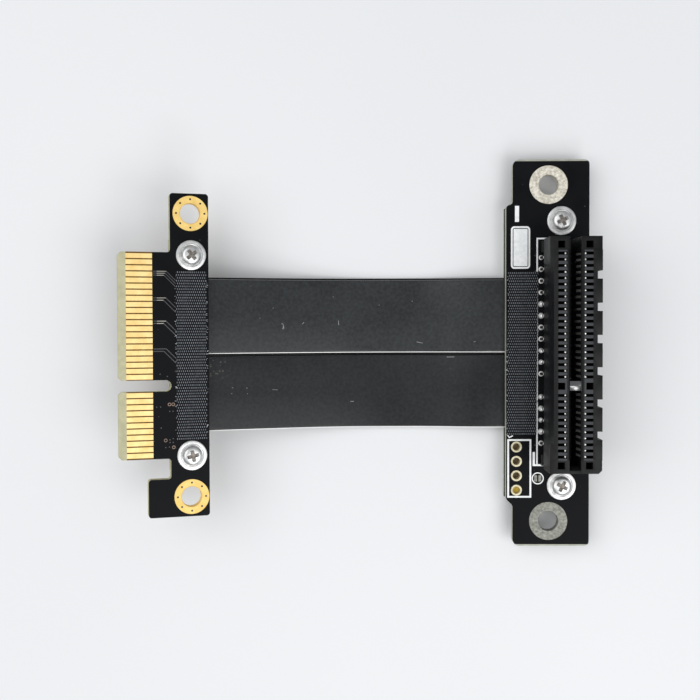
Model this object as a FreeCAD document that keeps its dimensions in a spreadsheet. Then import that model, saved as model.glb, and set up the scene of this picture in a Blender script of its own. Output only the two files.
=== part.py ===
"""Flat ribbon extension for a four-lane card slot.

A plug board with gold edge contacts and a socket board with an upright card slot are joined by two
flat ribbons, each clamped between a circuit board and a cover board. The socket end lies on its cover,
the ribbons dip to the table and rise again, and the plug board leans up at the far end.
Frame: X to the right towards the slot, Y along the boards, Z up from the table. The origin is on the
table, under the middle of the line through the socket board's two screws.
"""
import FreeCAD, Part
import math
import os
import Sketcher
from FreeCAD import Vector

document = FreeCAD.newDocument("SlotExtension")

# Driving sizes, in millimetres and degrees, and counts
SIZES = {
    # Circuit boards, cover boards and ribbons, stacked as a sandwich at both ends
    "board_thickness": 1.6,
    "cover_thickness": 1.2,
    "corner_radius": 0.5,
    "ribbon_width": 12.6,
    "ribbon_thickness": 1.2,
    "ribbon_gap": 0.5,
    "ribbon_edge": 0.35,
    "jacket_inset": 2.5,
    # Course of the ribbons from the socket board to the plug board
    "exit_run": 2.0,
    "dip_angle": 10,
    "belly_run": 4.1,
    "rise_radius": 60,
    "rise_run": 13.5,
    "plug_tilt": 18,
    # Stripped wire ends, soldered to the undersides of the boards
    "wires_per_ribbon": 8,
    "wire_width": 0.4,
    "wire_height": 0.3,
    "wire_length": 2.4,
    # Contact row shared by the plug and the slot
    "pin_pitch": 1.0,
    "key_gap": 3.0,
    "short_pins": 11,
    "long_pins": 21,
    # Screws and the standoffs they are driven into
    "screw_diameter": 2.0,
    "screw_clearance": 0.2,
    "thread_clearance": 0.1,
    "tip_margin": 0.2,
    "washer_diameter": 5.0,
    "washer_thickness": 0.45,
    "head_diameter": 3.3,
    "head_height": 1.0,
    "recess_span": 2.0,
    "recess_width": 0.6,
    "recess_depth": 0.75,
    "standoff_width": 4.0,
    # Mounting holes and the empty holes of a cable header
    "mount_hole": 3.5,
    "plug_pad": 5.85,
    "header_hole": 1.1,
    "header_pitch": 2.5,
    "header_holes": 4,
    "header_inset": 1.78,
    "header_end_margin": 1.55,
    # Woven tape over the soldered ends
    "tape_width": 5.05,
    "tape_thickness": 0.25,
    "tape_overlap": 1.25,
    "socket_tape_inset": 0.18,
    "plug_tape_inset": 0.4,
    # Outline of the socket board, measured from its screw line
    "socket_right": 4.8,
    "socket_left": 8.36,
    "socket_wide": 9.46,
    "wide_margin": 2.4,
    "jog_round": 0.8,
    "slot_screw_gap": 1.03,
    "hole_offset": 2.2,
    "socket_hole_step": 6.2,
    "socket_hole_margin": 4.4,
    "score_depth": 0.35,
    # Moulded card slot
    "slot_offset": 0.3,
    "slot_height": 11.25,
    "slot_width": 7.04,
    "slot_end_margin": 2.77,
    "foot_width": 2.6,
    "foot_height": 1.3,
    "foot_end": 1.9,
    "foot_flare": 0.3,
    "end_block": 5.0,
    "end_block_depth": 0.62,
    "end_block_height": 6.2,
    "end_block_slant": 1.0,
    "end_step": 0.2,
    "end_step_gap": 0.3,
    "rail_depth": 0.8,
    "rail_corner": 0.55,
    "rail_notch": 1.35,
    "rail_notch_pitch": 5.22,
    "rail_notches": 6,
    "channel_width": 1.8,
    "channel_floor": 2.5,
    "end_wall": 1.1,
    "lead_in": 0.25,
    "end_lead_in": 0.7,
    "end_lead_height": 1.4,
    "key_rib": 1.55,
    "key_rib_drop": 0.6,
    "key_rib_slope": 0.3,
    "lip_thickness": 0.48,
    "lip_height": 0.6,
    "window_length": 1.47,
    "window_width": 0.5,
    "core_size": 1.15,
    "core_depth": 6.0,
    "core_step": 1.45,
    # Spring contacts of the slot and their tails
    "contact_sheet": 0.3,
    "contact_width": 0.4,
    "contact_reach": 0.62,
    "contact_bump": 0.36,
    "bump_drop": 3.2,
    "tip_drop": 0.3,
    "tail_knee": 0.55,
    "knee_turn": 0.25,
    "root_turn": 0.1,
    "tail_row_outer": 3.75,
    "tail_row_inner": 1.75,
    "tail_length": 0.9,
    "tail_clearance": 0.06,
    # Outline of the plug board, measured from its ribbon edge
    "plug_strip": 6.4,
    "plug_reach": 14.94,
    "ribbon_screw_gap": 1.85,
    "plug_screw_inset": 2.95,
    "plug_hole_inset": 3.0,
    "plug_hole_step": 6.95,
    "plug_hole_margin": 3.3,
    "recess_margin": 0.15,
    "tail_setback": 4.8,
    "key_notch_width": 1.9,
    "key_notch_depth": 8.65,
    "tip_chamfer": 0.5,
    "bevel_length": 1.3,
    "bevel_depth": 0.45,
    "plug_cover_margin": 0.2,
    "plug_cover_step": 2.8,
    # Gold contacts on the plug's card edge
    "finger_edge_margin": 0.65,
    "finger_width": 0.78,
    "finger_end": 5.6,
    "finger_thickness": 0.06,
}

# Sizes that follow from the driving ones
WORKED = {
    "short_count": "round(Sizes.short_pins)",
    "long_count": "round(Sizes.long_pins)",
    "wire_count": "round(Sizes.wires_per_ribbon)",
    "notch_count": "round(Sizes.rail_notches)",
    "header_count": "round(Sizes.header_holes)",
    "pin_half_span": "(Sizes.key_gap + (short_count + long_count - 2) * Sizes.pin_pitch) / 2",
    "short_start": "-pin_half_span",
    "key_y": "-pin_half_span + (short_count - 1) * Sizes.pin_pitch + Sizes.key_gap / 2",
    "long_start": "key_y + Sizes.key_gap / 2",
    "socket_base": "Sizes.cover_thickness + Sizes.ribbon_thickness",
    "socket_top": "socket_base + Sizes.board_thickness",
    "ribbon_half": "Sizes.ribbon_width + Sizes.ribbon_gap / 2",
    "wire_pitch": "Sizes.ribbon_width / wire_count",
    "tape_half": "ribbon_half + Sizes.tape_overlap",
    "slot_end": "pin_half_span + Sizes.slot_end_margin",
    "socket_screw_y": "slot_end + Sizes.slot_screw_gap + Sizes.washer_diameter / 2",
    "socket_hole_y": "socket_screw_y + Sizes.socket_hole_step",
    "socket_end": "socket_hole_y + Sizes.socket_hole_margin",
    "wide_end": "socket_screw_y + Sizes.wide_margin",
    "jog_width": "Sizes.socket_wide - Sizes.socket_left",
    "header_y": "-wide_end + Sizes.header_end_margin",
    "window_inner": "Sizes.channel_width / 2 + Sizes.lip_thickness",
    "window_outer": "window_inner + Sizes.window_length",
    "lip_under": "Sizes.slot_height - Sizes.lip_height",
    "core_y": "pin_half_span + Sizes.core_step",
    "finger_edge": "pin_half_span + Sizes.finger_edge_margin",
    "plug_screw_y": "ribbon_half + Sizes.ribbon_screw_gap + Sizes.standoff_width / 2",
    "plug_hole_y": "plug_screw_y + Sizes.plug_hole_step",
    "plug_end": "plug_hole_y + Sizes.plug_hole_margin",
    "plug_under": "Sizes.ribbon_thickness / 2",
    "plug_cover_under": "-(plug_under + Sizes.cover_thickness)",
    "plug_top": "plug_under + Sizes.board_thickness",
    "dip_radius": "Sizes.cover_thickness / (2 * (1 - cos(Sizes.dip_angle)))",
    "dip_reach": "2 * dip_radius * sin(Sizes.dip_angle)",
    "belly_start": "-(Sizes.socket_wide + Sizes.exit_run + dip_reach)",
    "rise_start": "belly_start - Sizes.belly_run",
    "plug_x": "rise_start - Sizes.rise_radius * sin(Sizes.plug_tilt)"
              " - Sizes.rise_run * cos(Sizes.plug_tilt)",
    "plug_z": "Sizes.ribbon_thickness / 2 + Sizes.rise_radius * (1 - cos(Sizes.plug_tilt))"
              " + Sizes.rise_run * sin(Sizes.plug_tilt)",
}

sizes = document.addObject("Spreadsheet::Sheet", "Sizes")
for row, (alias, number) in enumerate(SIZES.items(), start=1):
    sizes.set(f"A{row}", alias)
    sizes.set(f"B{row}", str(number))
    sizes.setAlias(f"B{row}", alias)
worked = document.addObject("Spreadsheet::Sheet", "Worked")
for row, (alias, formula) in enumerate(WORKED.items(), start=1):
    worked.set(f"A{row}", alias)
    worked.set(f"B{row}", "=" + formula)
    worked.setAlias(f"B{row}", alias)
document.recompute()


def value(formula):
    """Number that a formula on the two sheets gives now."""
    return float(sizes.evalExpression(formula))


def new_body(label, x="0", y="0", z="0"):
    """Body of the socket end, moved to a place given by formulas."""
    body = document.addObject("PartDesign::Body", label)
    body.Label = label
    body.AllowCompound = True
    for axis, formula in zip("xyz", (x, y, z)):
        body.setExpression(f"Placement.Base.{axis}", formula)
    return body


def new_plug_body(label):
    """Body of the plug end: its X is 0 at the ribbon edge and its Z is 0 in the ribbons' mid plane."""
    body = new_body(label, "Worked.plug_x", "0", "Worked.plug_z")
    body.Placement = FreeCAD.Placement(Vector(), FreeCAD.Rotation(Vector(0, 1, 0), value("Sizes.plug_tilt")))
    body.setExpression("Placement.Rotation.Angle", "Sizes.plug_tilt")
    return body


def new_sketch(body, name, role="XY_Plane", x="0", y="0", z="0"):
    """Sketch on one of the body's own planes, shifted along the sketch's axes."""
    sketch = body.newObject("Sketcher::SketchObject", name)
    support = next(plane for plane in body.Origin.OriginFeatures if plane.Role == role)
    sketch.AttachmentSupport = [(support, "")]
    sketch.MapMode = "FlatFace"
    for axis, formula in zip("xyz", (x, y, z)):
        sketch.setExpression(f"AttachmentOffset.Base.{axis}", formula)
    return sketch


def tie(sketch, kind, places, formula):
    """Constraint whose value is a formula on the sheets."""
    number = sketch.addConstraint(Sketcher.Constraint(kind, *places, value(formula)))
    sketch.setExpression(f"Constraints[{number}]", formula)


def add_outline(sketch, corners):
    """Closed straight-sided outline whose corners are pairs of formulas."""
    points = [Vector(value(x), value(y), 0) for x, y in corners]
    first = sketch.GeometryCount
    count = len(points)
    for index, point in enumerate(points):
        sketch.addGeometry(Part.LineSegment(point, points[(index + 1) % count]), False)
    for index, (x, y) in enumerate(corners):
        line = first + index
        sketch.addConstraint(Sketcher.Constraint("Coincident", first + (index - 1) % count, 2, line, 1))
        tie(sketch, "DistanceX", (line, 1), x)
        tie(sketch, "DistanceY", (line, 1), y)


def add_rectangle(sketch, left, right, low, high):
    """Rectangle between two pairs of formulas."""
    add_outline(sketch, [(left, low), (right, low), (right, high), (left, high)])


def add_circle(sketch, x, y, diameter):
    """Circle whose centre and diameter are formulas."""
    circle = Part.Circle(Vector(value(x), value(y), 0), Vector(0, 0, 1), value(diameter) / 2)
    index = sketch.addGeometry(circle, False)
    tie(sketch, "DistanceX", (index, 3), x)
    tie(sketch, "DistanceY", (index, 3), y)
    tie(sketch, "Diameter", (index,), diameter)


def add_pad(body, sketch, length, middle=False):
    """Pad above its sketch or to both sides of it."""
    pad = body.newObject("PartDesign::Pad", sketch.Name + "Pad")
    pad.Profile = sketch
    pad.SideType = "Symmetric" if middle else "One side"
    pad.setExpression("Length", length)
    return pad


def add_pocket(body, sketch, length, middle=False, up=False):
    """Pocket below, above or to both sides of its sketch."""
    pocket = body.newObject("PartDesign::Pocket", sketch.Name + "Pocket")
    pocket.Profile = sketch
    pocket.SideType = "Symmetric" if middle else "One side"
    pocket.Reversed = up
    pocket.setExpression("Length", length)
    return pocket


def add_turned(body, name, corners, x, y):
    """Solid turned about an upright axis at x, y from a half section of (radius, height) formulas."""
    sketch = new_sketch(body, name, "XZ_Plane", x, "0", f"-({y})")
    add_outline(sketch, corners)
    turned = body.newObject("PartDesign::Revolution", name + "Turned")
    turned.Profile = sketch
    turned.ReferenceAxis = (sketch, ["V_Axis"])
    turned.Angle = 360
    return turned


def add_row(body, features, count, step, across=None):
    """Copies of features along the body's Y, and of that row across X where asked."""
    row = body.newObject("PartDesign::LinearPattern", features[0].Name + "Row")
    lines = {line.Role: line for line in body.Origin.OriginFeatures}
    row.Originals = features
    row.Direction = (lines["Y_Axis"], [""])
    row.setExpression("Occurrences", count)
    row.setExpression("Length", f"({count} - 1) * ({step})")
    if across:
        row.Direction2 = (lines["X_Axis"], [""])
        row.Occurrences2 = 2
        row.setExpression("Length2", across)
    body.Tip = row
    return row


CLOSE = 1e-6
VOLUME_SHARE = 0.01


def round_corners(body, feature, radius, keep=lambda point: True):
    """Round the upright edges of a board that pass a test."""
    document.recompute()
    upright = []
    for number, edge in enumerate(feature.Shape.Edges, start=1):
        start, end = (vertex.Point for vertex in edge.Vertexes)
        if math.hypot(start.x - end.x, start.y - end.y) < CLOSE and keep(start):
            upright.append(f"Edge{number}")
    fillet = body.newObject("PartDesign::Fillet", feature.Name + "Rounds")
    fillet.Base = (feature, upright)
    fillet.setExpression("Radius", radius)
    return fillet


# Contact groups: first place and count of the pins on each side of the key.
# Every second tail stands in the outer row of holes, the others in the inner row.
PIN_GROUPS = {"Short": ("Worked.short_start", "Worked.short_count"),
              "Long": ("Worked.long_start", "Worked.long_count")}
TAIL_GROUPS = (
    ("ShortOuter", "Sizes.tail_row_outer", "Worked.short_start + Sizes.pin_pitch",
     "floor(Worked.short_count / 2)"),
    ("ShortInner", "Sizes.tail_row_inner", "Worked.short_start", "ceil(Worked.short_count / 2)"),
    ("LongOuter", "Sizes.tail_row_outer", "Worked.long_start", "ceil(Worked.long_count / 2)"),
    ("LongInner", "Sizes.tail_row_inner", "Worked.long_start + Sizes.pin_pitch",
     "floor(Worked.long_count / 2)"),
)
TAIL_STEP = "2 * Sizes.pin_pitch"


def around(middle, size):
    """Low and high formulas of a span about its middle."""
    return f"{middle} - ({size}) / 2", f"{middle} + ({size}) / 2"


# Socket board: stepped outline, wider in the middle where the ribbons enter
def make_socket_board():
    body = new_body("socket_board", z="Worked.socket_base")
    outline = new_sketch(body, "SocketOutline")
    jog = "(Worked.wide_end + Worked.jog_width)"
    add_outline(outline, [
        ("Sizes.socket_right", "-Worked.socket_end"), ("Sizes.socket_right", "Worked.socket_end"),
        ("-Sizes.socket_left", "Worked.socket_end"), ("-Sizes.socket_left", jog),
        ("-Sizes.socket_wide", "Worked.wide_end"), ("-Sizes.socket_wide", "-Worked.wide_end"),
        ("-Sizes.socket_left", "-" + jog), ("-Sizes.socket_left", "-Worked.socket_end")])
    board = add_pad(body, outline, "Sizes.board_thickness")
    last_jog = value(jog)
    ends = round_corners(body, board, "Sizes.corner_radius", lambda point: abs(point.y) > last_jog + CLOSE)
    round_corners(body, ends, "Sizes.jog_round * Worked.jog_width",
                  lambda point: abs(point.y) < last_jog + CLOSE)

    scores = new_sketch(body, "EndScores", "YZ_Plane")
    for side in ("-1", "1"):
        end = f"{side} * Worked.socket_end"
        inner = f"{side} * (Worked.socket_end - Sizes.score_depth)"
        for face, depth in (("0", "Sizes.score_depth"),
                            ("Sizes.board_thickness", "Sizes.board_thickness - Sizes.score_depth")):
            add_outline(scores, [(inner, face), (end, face), (end, depth)])
    add_pocket(body, scores, "2 * Sizes.socket_wide", middle=True)

    holes = new_sketch(body, "SocketHoles")
    for side in ("-", ""):
        add_circle(holes, "-Sizes.hole_offset", side + "Worked.socket_hole_y", "Sizes.mount_hole")
        add_circle(holes, "0", side + "Worked.socket_screw_y", "Sizes.screw_diameter + Sizes.screw_clearance")
    for index in range(round(value("Worked.header_count"))):
        add_circle(holes, "-Sizes.socket_wide + Sizes.header_inset",
                   f"Worked.header_y + {index} * Sizes.header_pitch", "Sizes.header_hole")
    add_pocket(body, holes, "Sizes.board_thickness", up=True)

    for name, tail_row, start, count in TAIL_GROUPS:
        slot = new_sketch(body, name + "Slot")
        middle = f"Sizes.slot_offset - {tail_row}"
        add_rectangle(slot, *around(middle, "Sizes.contact_sheet + 2 * Sizes.tail_clearance"),
                      *around(start, "Sizes.contact_width + 2 * Sizes.tail_clearance"))
        pocket = add_pocket(body, slot, "Sizes.board_thickness", up=True)
        add_row(body, [pocket], count, TAIL_STEP, across=f"2 * {tail_row}")
    return body


# Card slot: one moulding on a narrow foot that flares at its ends, with a block high on each end, a notched
# rail along the right side, a channel that is closed at the low end and open at the other, a roofed key rib,
# and a window and cavity for every contact
def make_slot_housing():
    body = new_body("slot_housing", x="Sizes.slot_offset", z="Worked.socket_top")
    left = "(Sizes.slot_width / 2)"
    foot_left = f"({left} + Sizes.foot_flare)"
    right = f"({left} + Sizes.rail_depth)"
    cut_corner = [(f"{right} - Sizes.rail_corner", "-Worked.slot_end"),
                  (right, "-Worked.slot_end + Sizes.rail_corner")]
    foot = new_sketch(body, "SlotFoot")
    foot_inner = "(Worked.slot_end - Sizes.foot_end)"
    add_outline(foot, [
        ("-" + foot_left, "-Worked.slot_end"), *cut_corner, (right, "-" + foot_inner),
        ("Sizes.foot_width / 2", "-" + foot_inner), ("Sizes.foot_width / 2", foot_inner),
        (right, foot_inner), (right, "Worked.slot_end"), ("-" + foot_left, "Worked.slot_end"),
        ("-" + foot_left, foot_inner), ("-Sizes.foot_width / 2", foot_inner),
        ("-Sizes.foot_width / 2", "-" + foot_inner), ("-" + foot_left, "-" + foot_inner)])
    add_pad(body, foot, "Sizes.foot_height")

    upper = new_sketch(body, "SlotBody", z="Sizes.foot_height")
    add_outline(upper, [
        ("-" + left, "-Worked.slot_end"), *cut_corner, (right, "Worked.slot_end"),
        ("-" + left, "Worked.slot_end")])
    add_pad(body, upper, "Sizes.slot_height - Sizes.foot_height")

    blocks = new_sketch(body, "EndBlocks", "YZ_Plane", z=f"-({left} + Sizes.end_block_depth)")
    block_inner = "(Worked.slot_end - Sizes.end_block)"
    block_low = "Sizes.slot_height - Sizes.end_block_height"
    for side in ("-1", "1"):
        add_outline(blocks, [
            (f"{side} * Worked.slot_end", block_low), (f"{side} * Worked.slot_end", "Sizes.slot_height"),
            (f"{side} * {block_inner}", "Sizes.slot_height"),
            (f"{side} * ({block_inner} + Sizes.end_block_slant)", block_low)])
    add_pad(body, blocks, "Sizes.end_block_depth")

    steps = new_sketch(body, "EndSteps", z="Sizes.slot_height")
    step_inner = "(Worked.pin_half_span + Sizes.window_width / 2 + Sizes.end_step_gap)"
    for side in ("-1", "1"):
        add_rectangle(steps, f"-({left} + Sizes.end_block_depth)", right,
                      f"{side} * {step_inner}", f"{side} * Worked.slot_end")
    add_pocket(body, steps, "Sizes.end_step")

    notch = new_sketch(body, "RailNotch", z="Sizes.slot_height")
    notch_start = "-(Worked.notch_count - 1) * Sizes.rail_notch_pitch / 2"
    add_rectangle(notch, "Sizes.slot_width / 2", f"{right} + Sizes.rail_depth",
                  *around(notch_start, "Sizes.rail_notch"))
    notch_cut = add_pocket(body, notch, "Sizes.slot_height - Sizes.foot_height")
    add_row(body, [notch_cut], "Worked.notch_count", "Sizes.rail_notch_pitch")

    channel = new_sketch(body, "Channel", z="Sizes.slot_height")
    rib_low, rib_high = around("Worked.key_y", "Sizes.key_rib")
    closed_end = "-(Worked.slot_end - Sizes.end_wall)"
    open_end = "Worked.slot_end + Sizes.end_wall"
    half = "Sizes.channel_width / 2"
    add_rectangle(channel, "-" + half, half, closed_end, rib_low)
    add_rectangle(channel, "-" + half, half, rib_high, open_end)
    add_pocket(body, channel, "Sizes.slot_height - Sizes.channel_floor")
    rib_top = new_sketch(body, "KeyRibTop", "YZ_Plane")
    ridge = "Sizes.slot_height - Sizes.key_rib_drop"
    eaves = f"{ridge} - Sizes.key_rib_slope"
    add_outline(rib_top, [(rib_low, "Sizes.slot_height"), (rib_low, eaves), ("Worked.key_y", ridge),
                          (rib_high, eaves), (rib_high, "Sizes.slot_height")])
    add_pocket(body, rib_top, "Sizes.channel_width", middle=True)

    mouth = new_sketch(body, "LeadIn", "XZ_Plane")
    mouth_half = f"({half} + Sizes.lead_in)"
    lead_low = "Sizes.slot_height - Sizes.lead_in"
    add_outline(mouth, [("-" + half, lead_low), (half, lead_low), (mouth_half, "Sizes.slot_height"),
                        ("-" + mouth_half, "Sizes.slot_height")])
    add_pocket(body, mouth, "2 * (Worked.slot_end + Sizes.end_wall)", middle=True)
    end_slope = new_sketch(body, "EndLeadIn", "YZ_Plane")
    add_outline(end_slope, [(closed_end, "Sizes.slot_height"),
                            (closed_end + " - Sizes.end_lead_in", "Sizes.slot_height"),
                            (closed_end, "Sizes.slot_height - Sizes.end_lead_height")])
    add_pocket(body, end_slope, "Sizes.channel_width", middle=True)

    cores = new_sketch(body, "CornerCores", z="Sizes.slot_height")
    for middle in ("-Worked.core_y", "Worked.key_y", "Worked.core_y"):
        for low, high in (("-Worked.window_outer", "-Worked.window_outer + Sizes.core_size"),
                          ("Worked.window_outer - Sizes.core_size", "Worked.window_outer")):
            add_rectangle(cores, low, high, *around(middle, "Sizes.core_size"))
    add_pocket(body, cores, "Sizes.core_depth")

    # One cavity for each contact, from the window down past the foot, open to the channel under the lip
    cavity = [
        ("Sizes.channel_width / 4", "Sizes.channel_floor"), ("Worked.window_inner", "Sizes.channel_floor"),
        ("Worked.window_inner", "Sizes.foot_height"), ("Worked.window_outer", "Sizes.foot_height"),
        ("Worked.window_outer", "Sizes.slot_height"), ("Worked.window_inner", "Sizes.slot_height"),
        ("Worked.window_inner", "Worked.lip_under"), ("Sizes.channel_width / 4", "Worked.lip_under")]
    for name, (start, count) in PIN_GROUPS.items():
        section = new_sketch(body, name + "Cavity", "XZ_Plane", z=f"-({start})")
        for side in ("-1", "1"):
            add_outline(section, [(f"{side} * {x}", z) for x, z in cavity])
        cut = add_pocket(body, section, "Sizes.window_width", middle=True)
        add_row(body, [cut], count, "Sizes.pin_pitch")
    return body


# Spring contacts: stamped strips that stand on the foot of the cavity's outer wall, bow into the channel and
# rest behind the lip, with the tail through the board in the outer or the inner row
def make_contacts(label, side):
    body = new_body(label, x="Sizes.slot_offset", z="Worked.socket_top")
    sheet = "Sizes.contact_sheet"
    under = "-(Sizes.board_thickness + Sizes.tail_length)"
    bump_level = "(Sizes.slot_height - Sizes.bump_drop)"
    tip_level = "(Sizes.slot_height - Sizes.tip_drop)"
    lean = f"(Worked.window_inner - Sizes.contact_reach) / (Worked.lip_under - {bump_level})"
    tip = f"(Worked.window_inner + ({tip_level} - Worked.lip_under) * {lean})"
    for name, tail_row, start, count in TAIL_GROUPS:
        turn = "-" if tail_row == "Sizes.tail_row_outer" else "+"
        profile = [
            (f"{tail_row} - {sheet} / 2", under), (f"{tail_row} + {sheet} / 2", under),
            (f"{tail_row} + {sheet} / 2", "Sizes.tail_knee"), ("Worked.window_outer", "Sizes.foot_height"),
            ("Sizes.contact_reach + Sizes.contact_bump", bump_level), (f"{tip} + {sheet}", tip_level),
            (tip, tip_level), ("Sizes.contact_reach", bump_level),
            (f"Worked.window_outer - {sheet}", "Sizes.foot_height - Sizes.root_turn"),
            (f"{tail_row} - {sheet} / 2", f"Sizes.tail_knee {turn} Sizes.knee_turn")]
        strip = new_sketch(body, name + label, "XZ_Plane", z=f"-({start})")
        add_outline(strip, [(f"{side} * ({x})", z) for x, z in profile])
        pad = add_pad(body, strip, "Sizes.contact_width", middle=True)
        add_row(body, [pad], count, TAIL_STEP)
    return body


# Woven tape stuck on the top face of each board along its ribbon edge
def make_tape(body, inner_edge, direction, top):
    patch = new_sketch(body, body.Name + "Patch", z=top)
    ends = (inner_edge, f"{inner_edge} {direction} Sizes.tape_width")
    add_rectangle(patch, *ends, "-Worked.tape_half", "Worked.tape_half")
    add_pad(body, patch, "Sizes.tape_thickness")
    return body


# Cover boards: bare boards under the ribbons, which carry the standoffs
def make_socket_cover_board():
    body = new_body("socket_cover_board")
    outline = new_sketch(body, "SocketCoverOutline")
    add_rectangle(outline, "-Sizes.socket_wide", "Sizes.socket_right", "-Worked.wide_end", "Worked.wide_end")
    add_pad(body, outline, "Sizes.cover_thickness")
    return body


def make_plug_cover_board():
    body = new_plug_body("plug_cover_board")
    outline = new_sketch(body, "PlugCoverOutline", z="Worked.plug_cover_under")
    end = "(Worked.plug_screw_y + Sizes.plug_cover_step)"
    add_rectangle(outline, "-Sizes.plug_strip + Sizes.plug_cover_margin", "0", f"-{end}", end)
    add_pad(body, outline, "Sizes.cover_thickness")
    return body


# Threaded hexagonal standoffs, soldered on the cover board and as high as the ribbons are thick
HEXAGON = 6


def make_standoffs(body, x, y, seat):
    section = new_sketch(body, body.Name + "Section", x=x, y=f"-({y})", z=seat)
    corner = f"(Sizes.standoff_width / 2 / cos({180 / HEXAGON}))"
    turns = [360 / HEXAGON * (index + 1 / 2) for index in range(HEXAGON)]
    add_outline(section, [(f"{corner} * cos({turn})", f"{corner} * sin({turn})") for turn in turns])
    add_circle(section, "0", "0", "Sizes.screw_diameter + Sizes.thread_clearance")
    standoff = add_pad(body, section, "Sizes.ribbon_thickness")
    add_row(body, [standoff], "2", f"2 * {y}")
    return body


# Washer-head screws with a cross recess, driven through the board into the standoffs
def make_screws(body, x, y, top):
    shank = "Sizes.screw_diameter / 2"
    washer = "Sizes.washer_diameter / 2"
    head = "Sizes.head_diameter / 2"
    tip = f"({top} - Sizes.board_thickness - Sizes.ribbon_thickness + Sizes.tip_margin)"
    washer_top = f"({top} + Sizes.washer_thickness)"
    head_top = f"({washer_top} + Sizes.head_height)"
    turned = add_turned(body, body.Name + "Section", [
        ("0", tip), (shank, tip), (shank, top), (washer, top), (washer, washer_top), (head, washer_top),
        (head, head_top), ("0", head_top)], x, f"-({y})")
    cross = new_sketch(body, body.Name + "Recess", x=x, y=f"-({y})", z=head_top)
    arm = "Sizes.recess_width / 2"
    reach = "Sizes.recess_span / 2"
    half_cross = [(reach, "-" + arm), (reach, arm), (arm, arm), (arm, reach), ("-" + arm, reach),
                  ("-" + arm, arm)]
    add_outline(cross, half_cross + [(f"-({u})", f"-({v})") for u, v in half_cross])
    recess = add_pocket(body, cross, "Sizes.recess_depth")
    add_row(body, [turned, recess], "2", f"2 * {y}")
    return body


# Stripped wire ends, laid side by side under the board from the end of the jacket
def make_wire_ends(body, start, direction, board_under):
    ends = (start, f"{start} {direction} Sizes.wire_length")
    for name, first in (("Upper", "Sizes.ribbon_gap / 2"), ("Lower", "-Worked.ribbon_half")):
        wire = new_sketch(body, body.Name + name, z=f"{board_under} - Sizes.wire_height")
        add_rectangle(wire, *ends, *around(f"{first} + Worked.wire_pitch / 2", "Sizes.wire_width"))
        pad = add_pad(body, wire, "Sizes.wire_height")
        add_row(body, [pad], "Worked.wire_count", "Worked.wire_pitch")
    return body


# Plug board: a strip with a stepped card edge, a tail below it, a key notch and a bevelled tip
def make_plug_board():
    body = new_plug_body("plug_board")
    tip = "-Sizes.plug_reach"
    edge = "Worked.finger_edge"
    chamfer = "Sizes.tip_chamfer"
    tail_top = "-(Worked.plug_hole_y - Sizes.plug_pad / 2 - Sizes.recess_margin)"
    tail_left = f"{tip} + Sizes.tail_setback"
    outline = new_sketch(body, "PlugOutline", z="Worked.plug_under")
    add_outline(outline, [
        ("0", "-Worked.plug_end"), ("0", "Worked.plug_end"), ("-Sizes.plug_strip", "Worked.plug_end"),
        ("-Sizes.plug_strip", edge), (f"{tip} + {chamfer}", edge), (tip, f"{edge} - {chamfer}"),
        (tip, f"-{edge} + {chamfer}"), (f"{tip} + {chamfer}", f"-{edge}"), ("-Sizes.plug_strip", f"-{edge}"),
        ("-Sizes.plug_strip", tail_top), (tail_left, tail_top), (tail_left, "-Worked.plug_end")])
    board = add_pad(body, outline, "Sizes.board_thickness")
    last_chamfer = value(f"{tip} + {chamfer}")
    round_corners(body, board, "Sizes.corner_radius", lambda point: point.x > last_chamfer + CLOSE)

    notch = new_sketch(body, "KeyNotch", z="Worked.plug_under")
    low, high = around("Worked.key_y", "Sizes.key_notch_width")
    notch_end = f"{tip} + Sizes.key_notch_depth - Sizes.key_notch_width / 2"
    before_tip = f"{tip} - {chamfer}"
    flare = f"2 * {chamfer}"
    add_outline(notch, [
        (before_tip, f"{low} - {flare}"), (f"{tip} + {chamfer}", low), (notch_end, low),
        (notch_end, high), (f"{tip} + {chamfer}", high), (before_tip, f"{high} + {flare}")])
    add_pocket(body, notch, "Sizes.board_thickness", up=True)
    notch_round = new_sketch(body, "KeyNotchEnd", z="Worked.plug_under")
    add_circle(notch_round, notch_end, "Worked.key_y", "Sizes.key_notch_width")
    add_pocket(body, notch_round, "Sizes.board_thickness", up=True)

    bevel = new_sketch(body, "TipBevel", "XZ_Plane")
    for level, depth in (("Worked.plug_top", "-"), ("Worked.plug_under", "+")):
        add_outline(bevel, [(tip, level), (f"{tip} + Sizes.bevel_length", level),
                            (tip, f"{level} {depth} Sizes.bevel_depth")])
    add_pocket(body, bevel, "2 * Worked.plug_end", middle=True)

    holes = new_sketch(body, "PlugHoles", z="Worked.plug_under")
    for side in ("-", ""):
        add_circle(holes, "-Sizes.plug_hole_inset", side + "Worked.plug_hole_y", "Sizes.mount_hole")
        add_circle(holes, "-Sizes.plug_screw_inset", side + "Worked.plug_screw_y",
                   "Sizes.screw_diameter + Sizes.screw_clearance")
    add_pocket(body, holes, "Sizes.board_thickness", up=True)
    return body


# Gold contacts: thin bars on one face of the card edge, from the bevel inwards
def make_fingers(label, level):
    body = new_plug_body(label)
    for name, (start, count) in PIN_GROUPS.items():
        finger = new_sketch(body, name + label, z=level)
        add_rectangle(finger, "-Sizes.plug_reach + Sizes.bevel_length",
                      "-Sizes.plug_reach + Sizes.finger_end", *around(start, "Sizes.finger_width"))
        pad = add_pad(body, finger, "Sizes.finger_thickness")
        add_row(body, [pad], count, "Sizes.pin_pitch")
    return body


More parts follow.
